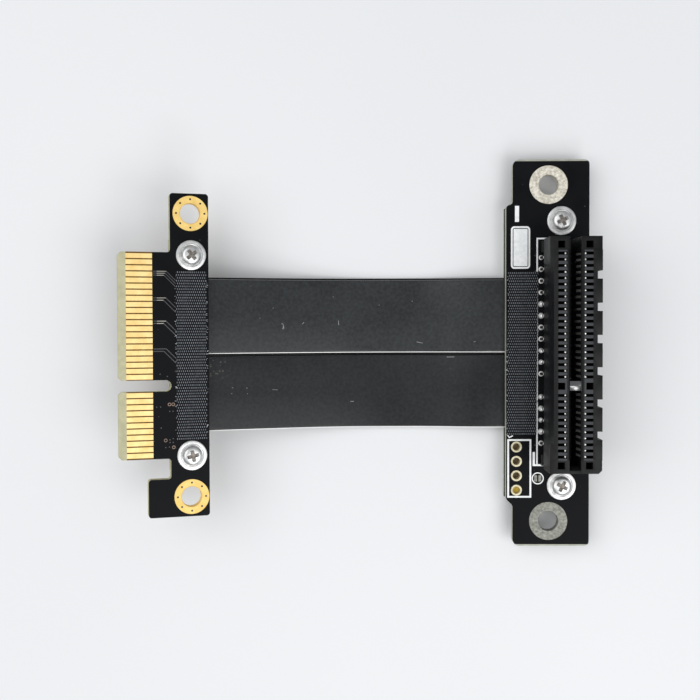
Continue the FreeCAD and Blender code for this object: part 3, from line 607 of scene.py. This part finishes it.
socket_board = make_piece(
    "rounded_socket_board", [mesh_shape(solid_mesh("socket_board"))], Matrix.Identity(4), socket_mask,
    cut_smooth, ("socket_board",))
waste_shapes = []
for side in (-1, 1):
    for x, way, radius in ((narrow_left, -1, left_round), (board_high.x / MM, 1, right_round)):
        waste_shapes.append(corner_waste(x, side * socket_end, way, side, radius))
upper_jog = [
    (-8.37, 27.2), (-8.37, 26.05), (-8.46, 25.82), (-8.64, 25.66), (-9.02, 25.54), (-9.24, 25.42),
    (-9.4, 25.2), (-9.46, 24.9), (-10.0, 24.9), (-10.0, 27.2)]
waste_shapes.append(plate(upper_jog, cutter_low, cutter_high))
waste = make_piece("corner_waste", waste_shapes, socket_frame, socket_mask)
cut_away(socket_board, waste)


def make_run_material(name, dark, pale):
    """Copper runs seen through the black mask: a little paler and glossier than the bare board."""
    return make_mottled_material(
        name, {"Specular IOR Level": 0.5}, (dark, pale), (500.0, 2.0), (2600.0, 0.1, 0.00002), (0.28, 0.4),
        blotchy_gloss=True)


masked_copper = make_run_material("masked_copper", (42, 43, 46), (70, 71, 74))
run_width = 0.2
run_height = 0.02
run_jog = 0.35
run_bend = 0.3
under_tape = 0.4
slot_centre = 0.3
tail_row = 3.75
pin_pitch = 2.0
solder_row = slot_centre - tail_row
solder_places = []
for first, count in ((-15.5, 5), (-3.5, 11)):
    solder_places += [first + pin_pitch * number for number in range(count)]
tape_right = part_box("socket_cloth_tape")[1].x / MM
run_shapes = []
for number, y in enumerate(solder_places):
    jog = run_jog if number % 2 else -run_jog
    bend = solder_row - run_bend
    route = [(solder_row, y), (bend, y), (bend - run_jog, y + jog), (tape_right - under_tape, y + jog)]
    run_shapes.append(stroke(route, run_width, socket_top, socket_top + run_height))
make_piece("socket_copper_runs", run_shapes, socket_frame, masked_copper)


# Plated holes of the socket board: two tinned mounting holes, and the four empty holes of a cable header.
# A ring on each face and a thin barrel through the hole are one piece of plating.
def ring_outline(at, radius, steps):
    """Points round a circle."""
    return [(at[0] + radius * math.cos(2 * math.pi * number / steps),
             at[1] + radius * math.sin(2 * math.pi * number / steps)) for number in range(steps)]


def turned(profile, at, steps, closed=False):
    """A shape turned about an upright line; an open profile starts and ends on that line."""
    rings = []
    for radius, height in profile:
        circle = ring_outline(at, radius, steps if radius else 1)
        rings.append([(x, y, height) for x, y in circle])
    return skin(rings, closed)


def plated_hole(at, outer, bore, low, high, proud=0.06, barrel=0.05):
    """Ring, barrel and ring round one hole, with rounded rims."""
    ring = outer / 2
    hole = bore / 2
    soft = proud / 2
    profile = [
        (ring, high), (ring, high + soft), (ring - soft, high + proud), (hole + soft, high + proud),
        (hole - barrel, high), (hole - barrel, low), (hole + soft, low - proud), (ring - soft, low - proud),
        (ring, low - soft), (ring, low), (hole, low), (hole, high),
    ]
    return turned(profile, at, 64, True)


plating_smooth = 30
mount_hole = 3.5
socket_hole_x = -2.2
socket_hole_y = 29.0
socket_ring = 6.6
# A darker copy of the tin: on the lower mounting hole's plating it is painted shade; the jumper pads are
# drawn in it too.
darker_tin = make_metal_material("darker_tin", (106, 107, 101), (160, 160, 150), (0.5, 0.64), 2600.0, 0.5)
for name, side, finish in (("socket_upper_plating", 1, tin), ("socket_lower_plating", -1, darker_tin)):
    at = (socket_hole_x, side * socket_hole_y)
    shape = plated_hole(at, socket_ring, mount_hole, socket_base, socket_top)
    make_piece(name, [shape], socket_frame, finish, plating_smooth)

header_tin = make_metal_material("yellowed_tin", (192, 184, 152), (226, 219, 190), (0.46, 0.6), 1800.0, 0.5)
header_x = -7.68
header_y = -23.65
header_pitch = 2.5
header_ring = 1.9
header_bore = 1.3
bore_profile = [
    (0.0, cutter_low), (header_bore / 2, cutter_low), (header_bore / 2, cutter_high), (0.0, cutter_high)]
header_shapes = []
bore_shapes = []
for number in range(4):
    at = (header_x, header_y + number * header_pitch)
    header_shapes.append(
        plated_hole(at, header_ring, header_bore, socket_base, socket_top, proud=0.05, barrel=0.04))
    bore_shapes.append(turned(bore_profile, at, 48))
bore_waste = make_piece("bore_waste", bore_shapes, socket_frame, socket_mask)
cut_away(socket_board, bore_waste)
make_piece("header_plating", header_shapes, socket_frame, header_tin, plating_smooth)


# Amber film: a strip stuck under the board behind the header's holes, seen through them; its dark brown is
# painted shade inside the holes and its gold lower end is painted light where light falls into the lowest
# hole.
# Jumper pads: two bare tinned pads side by side, for a solder bridge, inside a printed circle.
def box_outline(left, right, bottom, top):
    """The four corners of an upright box on a board."""
    return [(left, bottom), (right, bottom), (right, top), (left, top)]


def make_film_material():
    """Amber polyimide film, painted dark brown as shade inside the holes and bright gold at its lower end
    as painted light.
    """
    lit_end = -22.4 * MM
    material, tree, surface, place = start_material("amber_film", {"Roughness": 0.35})
    clouds = effect(tree, clouds_group, place, scale=420.0, contrast=2.5)["Value"]
    # Dark brown over most of the strip is painted shade inside the holes; gold past the lit end is painted
    # light.
    shaded_amber = mix_paint(tree, clouds, (82, 66, 30), (118, 96, 46))
    lit_share = calculate(tree, "LESS_THAN", part_of(tree, place, "Y"), lit_end)
    feed(tree, surface, {"Base Color": mix_paint(tree, lit_share, shaded_amber, (255, 222, 84))})
    return material


film_base = socket_base - 0.06
film_top = socket_base - 0.01
film_strip = plate(box_outline(-8.7, -6.65, -24.9, -14.9), film_base, film_top)
make_piece("header_film", [film_strip], socket_frame, make_film_material())

jumper_x = -4.0
jumper_y = -21.6
pad_width = 0.5
pad_length = 1.1
pad_height = 0.06
jumper_gap = 0.25
jumper_shapes = []
for side in (-1, 1):
    middle = jumper_x + side * (pad_width + jumper_gap) / 2
    outline = box_outline(middle - pad_width / 2, middle + pad_width / 2,
                          jumper_y - pad_length / 2, jumper_y + pad_length / 2)
    jumper_shapes.append(plate(outline, socket_top, socket_top + pad_height))
make_piece("jumper_pads", jumper_shapes, socket_frame, darker_tin)


# Silkscreen of the socket board: white epoxy ink, printed in lines and blank fields.
# A box round the header with its first-hole mark, a circle round the jumper, a bar, a blank patch
# and brackets round the foot of the slot.
ink = make_mottled_material(
    "white_ink", {"Specular IOR Level": 0.35}, ((230, 233, 233), (252, 253, 253)),
    (1600.0, 2.0), (9000.0, 0.3, 0.00001), (0.5, 0.75))
ink_height = 0.03
ink_levels = (socket_top, socket_top + ink_height)
broad_line = 0.3
slot_line = 0.26
fine_line = 0.18
jumper_circle = 0.95
patch_middle = (-7.0, 18.25)
patch_length = 7.3
patch_width = 3.3
patch_round = 0.6
patch_gap = 0.14


def patch_outline(inset):
    """The blank patch's round-cornered outline, drawn in by an inset."""
    section = round_section(patch_length - 2 * inset, patch_width - 2 * inset, patch_round - inset, 6)
    return [(patch_middle[0] + across, patch_middle[1] + along) for along, across in section]


print_shapes = [
    stroke(box_outline(-9.1, -5.27, -24.8, -14.96), broad_line, *ink_levels, True),
    stroke([(-9.2, -14.1), (-8.92, -14.52), (-8.3, -14.2)], fine_line, *ink_levels),
    stroke(ring_outline((jumper_x, jumper_y), jumper_circle, 32), fine_line, *ink_levels, True),
    plate(box_outline(-7.96, -7.26, 22.65, 25.4), *ink_levels),
    stroke(patch_outline(broad_line / 2), broad_line, *ink_levels, True),
    plate(patch_outline(broad_line + patch_gap), *ink_levels),
    stroke([(-2.4, 19.78), (-4.14, 19.78), (-4.14, -19.1)], slot_line, *ink_levels),
    plate(box_outline(-4.89, -4.48, -19.47, -17.04), *ink_levels),
    plate(box_outline(-4.48, -3.0, -19.47, -19.14), *ink_levels),
]
make_piece("socket_print", print_shapes, socket_frame, ink)


# Solder joints of the slot: a small bright fillet round each contact tail on the board's upper face.
# On half of them it has drawn down into the hole and shows a rim round a dark middle, a dark disc of
# painted shade where the hole is; on the others it has climbed over the foot of the tail.
solder = make_metal_material("solder", (224, 224, 222), (253, 253, 251), (0.24, 0.42), 2400.0, 0.35)
# A dark material of painted shade, drawn in the hollow middles of the joints and in the plug's via holes.
hole_shade_paint = make_mottled_material(
    "painted_hole_shade", {"Roughness": 0.25, "Specular IOR Level": 0.4}, ((14, 12, 10), (36, 30, 24)),
    (1500.0, 2.0))
solder_smooth = 50
ring_profile = [
    (0.48, 0.0), (0.46, 0.06), (0.4, 0.12), (0.34, 0.15), (0.28, 0.13), (0.22, 0.07), (0.14, 0.03),
    (0.0, 0.02)]
full_profile = [
    (0.5, 0.0), (0.48, 0.1), (0.42, 0.3), (0.35, 0.48), (0.26, 0.62), (0.14, 0.7), (0.0, 0.72)]
full_joints = {1, 2, 3, 4, 6, 7, 10, 11}
hollow_profile = [(0.0, 0.0), (0.21, 0.0), (0.21, 0.075), (0.0, 0.065)]
most_lean = 0.2
lumps = random.Random(5)
joint_shapes = []
hollow_shapes = []
for number, y in enumerate(solder_places):
    full = number in full_joints
    raised = [(0.0, 0.0)] + (full_profile if full else ring_profile)
    points, faces = turned(raised, (0.0, 0.0), 24)
    swell = lumps.uniform(0.88, 1.06)
    lean = Vector((lumps.uniform(-most_lean, most_lean), lumps.uniform(-most_lean, most_lean)))
    joint_shapes.append((
        [(solder_row + swell * px + lean.x * pz, y + swell * py + lean.y * pz, socket_top + pz)
         for px, py, pz in points], faces))
    if not full:
        hollow = [(radius, socket_top + height) for radius, height in hollow_profile]
        hollow_shapes.append(turned(hollow, (solder_row, y), 16))
make_piece("slot_solder", joint_shapes, socket_frame, solder, solder_smooth)
make_piece("slot_hole_shade", hollow_shapes, socket_frame, hole_shade_paint, solder_smooth)


# Slot housing: one moulding in black glass-filled nylon, open at one end, with a window for each contact,
# a key rib across the channel and a notched rail along one side. Its edges are slightly rounded.
bar_depth = 0.1
bar_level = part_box("slot_housing")[1].z / MM - bar_depth
bar_middle = 2.1
bar_half = 0.7
rib_middle = -5.0
rib_half = 0.8
channel_half = 0.95
housing_round = 0.06


def away_from(tree, value, middle):
    """How far a value in metres is from a middle in millimetres, either way."""
    return calculate(tree, "ABSOLUTE", calculate(tree, "SUBTRACT", value, middle * MM))


def make_plastic_material():
    """Black moulded nylon with a fine matt skin and a little dust.

    It is greyer on the bars between the windows and rubbed bright on the key rib."""
    material, tree, surface, place = start_material(
        "slot_plastic", {"Specular IOR Level": 0.22, "Coat Roughness": 0.2, "Coat IOR": 2.6})
    grain = effect(tree, grain_group, place, scale=5200.0, strength=0.22, depth=0.00003)
    clouds = effect(tree, clouds_group, place, scale=320.0, contrast=2.2)["Value"]
    from_middle = away_from(tree, part_of(tree, place, "X"), slot_centre)
    on_bars = calculate(tree, "LESS_THAN", away_from(tree, from_middle, bar_middle), bar_half * MM)
    on_top = calculate(tree, "GREATER_THAN", part_of(tree, place, "Z"), bar_level * MM)
    bars = product(tree, on_bars, on_top)
    tone = mix_paint(tree, clouds, (8, 8, 9), (16, 17, 18))
    greyed = mix_paint(tree, bars, tone, (58, 60, 63))
    dusty = dusted(tree, place, greyed, (120, 120, 120), cover=0.4, scale=1400.0, share=0.06, size=0.14)
    on_rib = calculate(
        tree, "LESS_THAN", away_from(tree, part_of(tree, place, "Y"), rib_middle), rib_half * MM)
    in_channel = calculate(tree, "LESS_THAN", from_middle, channel_half * MM)
    rubbed = product(tree, on_rib, in_channel)
    gloss = spread(tree, grain["Value"], 0.34, 0.54)
    feed(tree, surface, {
        "Base Color": dusty,
        "Roughness": product(tree, gloss, spread(tree, rubbed, 1.0, 0.6)),
        "Coat Weight": rubbed,
        "Normal": grain["Normal"]})
    return material


def soften_solid(name, new_name, radius, material):
    """A copy of a solid with its sharp edges rounded, shown instead of it."""
    flat = math.radians(1)
    sharp = math.radians(25)
    smooth_angle = 35
    rough = solid_mesh(name)
    bmesh.ops.dissolve_limit(rough, angle_limit=flat, verts=rough.verts, edges=rough.edges)
    edges = [edge for edge in rough.edges if len(edge.link_faces) == 2 and edge.calc_face_angle() > sharp]
    bmesh.ops.bevel(
        rough, geom=edges, offset=radius * MM, segments=2, profile=0.5, affect="EDGES", clamp_overlap=True)
    bmesh.ops.triangulate(rough, faces=[face for face in rough.faces if len(face.verts) > 4])
    shape = mesh_shape(rough)
    return make_piece(new_name, [shape], Matrix.Identity(4), material, smooth_angle, (name,))


soften_solid("slot_housing", "slot_moulding", housing_round, make_plastic_material())


# Slot contacts: two rows of springs stamped from bronze strip, plated bright where the card rubs.
# They are pressed up into the housing, and their tails go down through the board.
def make_spring_material():
    """Bright plating; the feet of the outer tails are painted dark as shade where they go down into the
    board.
    """
    shade_reach = 0.22
    shade_start = slot_centre - solder_row - shade_reach
    material = make_metal_material(
        "contact_plating", (214, 214, 212), (248, 248, 246), (0.28, 0.42), 1200.0, 0.9)
    tree = material.node_tree
    colour = tree.nodes["Principled BSDF"].inputs["Base Color"]
    plating = colour.links[0].from_socket
    from_middle = away_from(tree, part_of(tree, surface_place(tree), "X"), slot_centre)
    # Painted shade: the feet of the outer tails are drawn dark where they go down into the board.
    shaded_feet = calculate(tree, "GREATER_THAN", from_middle, shade_start * MM)
    tree.links.new(mix_paint(tree, shaded_feet, plating, (52, 48, 44)), colour)
    return material


spring_round = 0.11
contact_metal = make_spring_material()
for name, new_name in (("slot_contacts_left", "left_springs"), ("slot_contacts_right", "right_springs")):
    soften_solid(name, new_name, spring_round, contact_metal)


# Cloth tapes: a strip of black ribbed tape glued over the soldered ends on each board.
# The ribs run across the strip, and pale ends of cut threads stick out along its long edges.
def woven_tape(left, right, reach, low, high, pitch):
    """A ribbed strip: rounded cords side by side along Y, each crossed by finer threads along X."""
    across_steps, rib_steps = 28, 8
    ribs = round(2 * reach / pitch)
    columns = ribs * rib_steps
    sunk = 0.45 * (high - low)
    points = []
    for column in range(columns + 1):
        y = -reach + 2 * reach * column / columns
        rib = abs(math.sin(math.pi * column / rib_steps))
        turn = math.pi if (column // rib_steps) % 2 else 0.0
        for row in range(across_steps + 1):
            x = left + (right - left) * row / across_steps
            thread = 0.5 + 0.5 * math.cos(turn + math.pi * row / 2)
            points.append((x, y, high - sunk * (1 - rib ** 0.6 * (0.75 + 0.25 * thread))))
    row_length = across_steps + 1
    faces = []
    for column in range(columns):
        for row in range(across_steps):
            corner = column * row_length + row
            faces.append((corner, corner + 1, corner + row_length + 1, corner + row_length))
    rim = list(range(row_length))
    rim += [column * row_length + across_steps for column in range(1, columns + 1)]
    rim += [columns * row_length + row for row in range(across_steps - 1, -1, -1)]
    rim += [column * row_length for column in range(columns - 1, 0, -1)]
    base = len(points)
    points += [(points[corner][0], points[corner][1], low) for corner in rim]
    for number in range(len(rim)):
        follow = (number + 1) % len(rim)
        faces.append((rim[number], rim[follow], base + follow, base + number))
    faces.append(tuple(range(base, base + len(rim))))
    return points, faces


def thread_ends(edges, reach, low, high, count, draw):
    """Cut thread ends sticking out of a strip's long edges, each a thin tapered stub."""
    shapes = []
    for edge, way in edges:
        for _ in range(count):
            y = draw.uniform(-reach, reach)
            length = draw.uniform(0.08, 0.32)
            radius = draw.uniform(0.025, 0.045)
            level = draw.uniform(low, high)
            lean = draw.uniform(-0.12, 0.12)
            rings = []
            for share, thick in ((-0.3, 1.0), (0.6, 1.0), (1.0, 0.5)):
                x = edge + way * share * length
                rings.append([(x, y + lean * share + side * radius * thick, level + rise * radius * thick)
                              for side, rise in ((1, 0), (0, 1), (-1, 0), (0, -1))])
            shapes.append(skin(rings))
    return shapes


def make_cloth_material(pitch, stitch):
    """Black woven tape, painted grey on the raised threads as painted light and black in the gaps between
    them as painted shade.
    """
    material, tree, surface, place = start_material("black_cloth", {"Specular IOR Level": 0.1})
    # Grey bricks on the raised threads are painted light; the black mortar in the gaps between them is
    # painted shade.
    weave_light_and_shade = add_node(tree, "ShaderNodeTexBrick", {
        "Vector": place, "Color1": paint(112, 116, 122), "Color2": paint(134, 138, 144),
        "Mortar": paint(2, 2, 3), "Scale": 1 / MM, "Mortar Size": 0.105, "Mortar Smooth": 0.3,
        "Brick Width": stitch, "Row Height": pitch})
    grain = effect(tree, grain_group, place, scale=9000.0, strength=0.6, depth=0.00004)
    wear = spread(tree, grain["Value"], 0.0, 0.45)
    worn = mix_paint(tree, wear, weave_light_and_shade.outputs["Color"], (20, 20, 22))
    linty = dusted(tree, place, worn, (140, 142, 144), cover=0.35, scale=2200.0, share=0.12, size=0.2)
    feed(tree, surface, {
        "Base Color": linty,
        "Roughness": spread(tree, grain["Value"], 0.7, 0.95),
        "Normal": grain["Normal"]})
    return material


tape_low, tape_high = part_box("socket_cloth_tape")
tape_thickness = (tape_high.z - tape_low.z) / MM
tape_reach = tape_high.y / MM
tape_width = (tape_high.x - tape_low.x) / MM
half_ribs = 30
rib_pitch = tape_reach / half_ribs
stitch_length = 0.33
skew = 0.14
tape_shift = 0.05
thread_inset = 0.05
thread_count = 34
tape_smooth = 60
cloth = make_cloth_material(rib_pitch, stitch_length)
thread = make_mottled_material(
    "cut_thread", {"Sheen Weight": 0.35, "Sheen Roughness": 0.5}, ((84, 86, 88), (246, 248, 249)),
    (800.0, 5.0), (9000.0, 0.6, 0.00004), (0.7, 0.95))
board_thickness = 1.6
plug_board_top = ribbon_thickness / 2 + board_thickness
plug_tape_right = -0.4
draw = random.Random(11)
askew = Matrix.Identity(4)
askew[0][1] = skew / tape_reach
for end, place, left, low in (
        ("socket", socket_frame @ askew, tape_low.x / MM + tape_shift, socket_top),
        ("plug", plug_frame, plug_tape_right - tape_width, plug_board_top)):
    right = left + tape_width
    high = low + tape_thickness
    shape = woven_tape(left, right, tape_reach, low, high, rib_pitch)
    make_piece(
        end + "_woven_tape", [shape], place, cloth, tape_smooth, (end + "_cloth_tape",))
    edges = ((left, -1), (right, 1))
    ends = thread_ends(edges, tape_reach, low + thread_inset, high - thread_inset, thread_count, draw)
    make_piece(end + "_thread_ends", ends, place, thread, tape_smooth)


# Screws: pan-head machine screws with a rolled-on washer and a cross recess, bright nickel.
# They are driven down through the boards into the standoffs.
# Each cross recess is lined with a cross of darker steel, which is painted shade.
def screw_shape(at, top):
    """Washer, domed head and shank, turned as one."""
    washer, head, shank = 2.5, 1.6, 1.0
    washer_height, head_height = 0.45, 1.45
    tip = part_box("socket_screws")[0].z / MM - socket_top
    profile = [
        (0.0, tip), (0.8, tip), (shank, tip + 0.2), (shank, -0.02), (washer - 0.05, 0.0), (washer, 0.06),
        (washer, 0.33), (washer - 0.06, 0.42), (washer - 0.18, washer_height), (head + 0.36, washer_height),
        (head + 0.26, 0.34), (head + 0.08, 0.32), (head, 0.42), (head, 1.0), (head - 0.08, 1.2),
        (head - 0.24, 1.34), (head - 0.5, 1.41), (0.5, head_height), (0.0, head_height),
    ]
    return turned([(radius, top + height) for radius, height in profile], at, 64)


def cross_block(top, levels):
    """A cross that narrows as it goes down, from its two levels, each a height, a span and a width."""
    rings = []
    for height, span, width in levels:
        outline = [(span, width), (width, width), (width, span)]
        outline += [(-x, y) for x, y in reversed(outline)]
        outline += [(-x, -y) for x, y in outline]
        rings.append([(x, y, top + height) for x, y in outline])
    return skin(rings)


# Darker steel lining the cross recesses: painted shade.
recess_shade_steel = make_metal_material("recess_shade_steel", (92, 86, 80), (148, 141, 134), (0.4, 0.55), 2400.0, 0.8)
recess_levels = ((1.6, 1.12, 0.35), (0.4, 0.3, 0.08))
recess_shade_levels = ((1.05, 0.72, 0.22), (0.41, 0.3, 0.08))
socket_screw_y = 22.8
plug_screw_y = 16.7
plug_screw_x = -2.95
for end, place, top, x, y, turns in (
        ("socket", socket_frame, socket_top, 0.0, socket_screw_y, (25, 62)),
        ("plug", plug_frame, plug_board_top, plug_screw_x, plug_screw_y, (38, 12))):
    shapes = [screw_shape((x, side * y), top) for side in (1, -1)]
    recess_shade_shapes = []
    screws = make_piece(
        end + "_pan_screws", shapes, place, nickel, cut_smooth, (end + "_screws",))
    for side, turn in zip((1, -1), turns):
        spin = Matrix.Translation((x, side * y, 0.0)) @ Matrix.Rotation(math.radians(turn), 4, "Z")
        recess = cross_block(top, recess_levels)
        cutter = make_piece(end + "_recess", [recess], place @ spin, nickel)
        cut_away(screws, cutter)
        points, faces = cross_block(top, recess_shade_levels)
        recess_shade_shapes.append(([spin @ Vector(point) for point in points], faces))
    make_piece(end + "_recess_shade_cross", recess_shade_shapes, place, recess_shade_steel)


# Plug board: black circuit board with a stepped card edge, notched for the key and bevelled at its tip.
# Gold contacts on both faces meet the slot it is pushed into.
finish_nodes(plug_mask, "plug_board")
pale_gold = make_metal_material("contact_gold", (238, 203, 130), (252, 226, 160), (0.44, 0.58), 700.0, 0.6)
finish_nodes(pale_gold, "plug_contacts_top", "plug_contacts_bottom")

# Copper runs of the plug board: etched lines that lead from the contacts to the ribbon, under the mask.
# Most show paler next to the contacts, where the mask is thin. The vias are small plated holes between
# the board's two faces; the larger ones are bare copper rings, the smaller ones are masked.
thin_mask = make_run_material("thin_mask", (112, 110, 104), (178, 174, 164))
bare_copper = make_metal_material("dull_copper", (112, 94, 82), (156, 136, 122), (0.4, 0.55), 900.0, 0.5)
run_starts = (
    (13.98, -7.0), (13.66, -7.2), (13.33, -7.4), (9.58, -7.1), (9.2, -7.5), (5.74, -7.1), (5.36, -7.5),
    (1.14, -7.1), (0.74, -7.5))
run_left = -9.2
pale_left = -8.6
run_right = -5.5
faint_below = 3.0
plug_run_width = 0.13
run_levels = (plug_board_top, plug_board_top + run_height)
via_rings = ((-6.64, -8.1), (-6.02, -8.1), (-7.3, -14.08), (-5.98, -15.26))
via_dots = (
    (-8.75, -8.5), (-8.1, -8.5), (-8.05, -12.0), (-6.6, -14.0), (-6.06, -13.8), (-6.6, -14.45),
    (-6.06, -14.45), (-7.3, -15.26), (-6.7, -15.2), (-8.15, -3.05), (-6.95, -3.45), (-6.6, -9.25),
    (-6.06, -9.25))
ring_radius = 0.235
ring_width = 0.1
dot_radius = 0.1
plug_runs = []
pale_runs = []
plug_vias = []
for y, bend in run_starts:
    start_runs = pale_runs if y > faint_below else plug_runs
    for route, runs in (
            ([(run_left, y), (pale_left, y)], plug_runs),
            ([(pale_left, y), (bend, y)], start_runs),
            ([(bend, y), (run_right, y + bend - run_right)], plug_runs)):
        runs.append(stroke(route, plug_run_width, *run_levels))
for at in via_rings:
    plug_vias.append(stroke(ring_outline(at, ring_radius, 24), ring_width, *run_levels, True))
for at in via_dots:
    plug_runs.append(plate(ring_outline(at, dot_radius, 12), *run_levels))
make_piece("plug_copper_runs", plug_runs, plug_frame, masked_copper)
make_piece("plug_pale_runs", pale_runs, plug_frame, thin_mask)
make_piece("plug_vias", plug_vias, plug_frame, bare_copper)

# Plated mounting holes of the plug board: a gold ring on each face, joined by a thin barrel.
# Each ring has a circle of small stitching vias, drawn as dark discs of painted shade where their holes
# are.
gold = make_metal_material("plated_gold", (234, 200, 118), (246, 216, 138), (0.54, 0.68), 800.0, 0.6)
plug_hole_x = -3.0
plug_hole_y = 23.65
plug_ring = 5.85
plug_board_base = plug_board_top - board_thickness
via_circle = 2.36
via_count = 8
via_smooth = 40
dimple_profile = [(0.0, 0.0), (0.17, 0.0), (0.17, 0.065), (0.13, 0.068), (0.0, 0.063)]
dimple = [(radius, plug_board_top + height) for radius, height in dimple_profile]
via_shapes = []
for name, side in (("plug_upper_plating", 1), ("plug_lower_plating", -1)):
    at = (plug_hole_x, side * plug_hole_y)
    shape = plated_hole(at, plug_ring, mount_hole, plug_board_base, plug_board_top)
    make_piece(name, [shape], plug_frame, gold, plating_smooth)
    via_shapes += [turned(dimple, spot, 16) for spot in ring_outline(at, via_circle, via_count)]
make_piece("plug_ring_vias", via_shapes, plug_frame, hole_shade_paint, via_smooth)

# Table and light: a plain pale table top, smooth and dull, that runs out of sight on all sides.
# A soft lamp stands at the lower right, a wide one on the left and a small one below, in a pale room.
table_half = 2.0
table_mesh = bpy.data.meshes.new("table")
table_corners = [(x, y, 0.0) for x, y in box_outline(-table_half, table_half, -table_half, table_half)]
table_mesh.from_pydata(table_corners, [], [(0, 1, 2, 3)])
table_mesh.materials.append(make_mottled_material(
    "pale_table", {"Roughness": 0.7, "Specular IOR Level": 0.3}, ((222, 223, 225), (230, 231, 232)),
    (9.0, 1.0)))
table = add_object("table", table_mesh)


def add_lamp(name, place, aim, size, power):
    """A square soft lamp at a place, aimed at a point."""
    lamp = bpy.data.lights.new(name, "AREA")
    lamp.size = size
    lamp.energy = power
    stand = add_object(name, lamp)
    stand.location = place
    stand.rotation_euler = (Vector(aim) - Vector(place)).to_track_quat("-Z", "Y").to_euler()


middle = (-0.03, 0.0, 0.005)
add_lamp("key_lamp", (0.18, -0.16, 0.4), middle, 0.3, 0.88)
add_lamp("fill_lamp", (-0.28, 0.06, 0.42), middle, 0.5, 1.3)
add_lamp("window_lamp", (0.06, -0.36, 0.33), middle, 0.12, 0.25)
room = bpy.data.worlds.new("pale_room")
room.use_nodes = True
backdrop = room.node_tree.nodes["Background"].inputs
backdrop["Color"].default_value = (0.9, 0.92, 0.95, 1.0)
backdrop["Strength"].default_value = 0.47
bpy.context.scene.world = room
bpy.context.scene.view_settings.view_transform = "Standard"

# Camera: straight above the middle of the ribbons, tipped a degree or so, as the photograph was taken.
# Its place, lens and turn are fitted to where the boards lie in the picture.
camera_data = bpy.data.cameras.new("camera")
camera_data.sensor_width = 36.0
camera_data.lens = 53.49
camera_data.clip_start = 0.01
camera = add_object("camera", camera_data)
camera.location = (-0.03318, 0.00494, 0.18386)
camera.rotation_euler = (math.radians(-1.358), math.radians(1.023), math.radians(-0.172))
bpy.context.scene.camera = camera
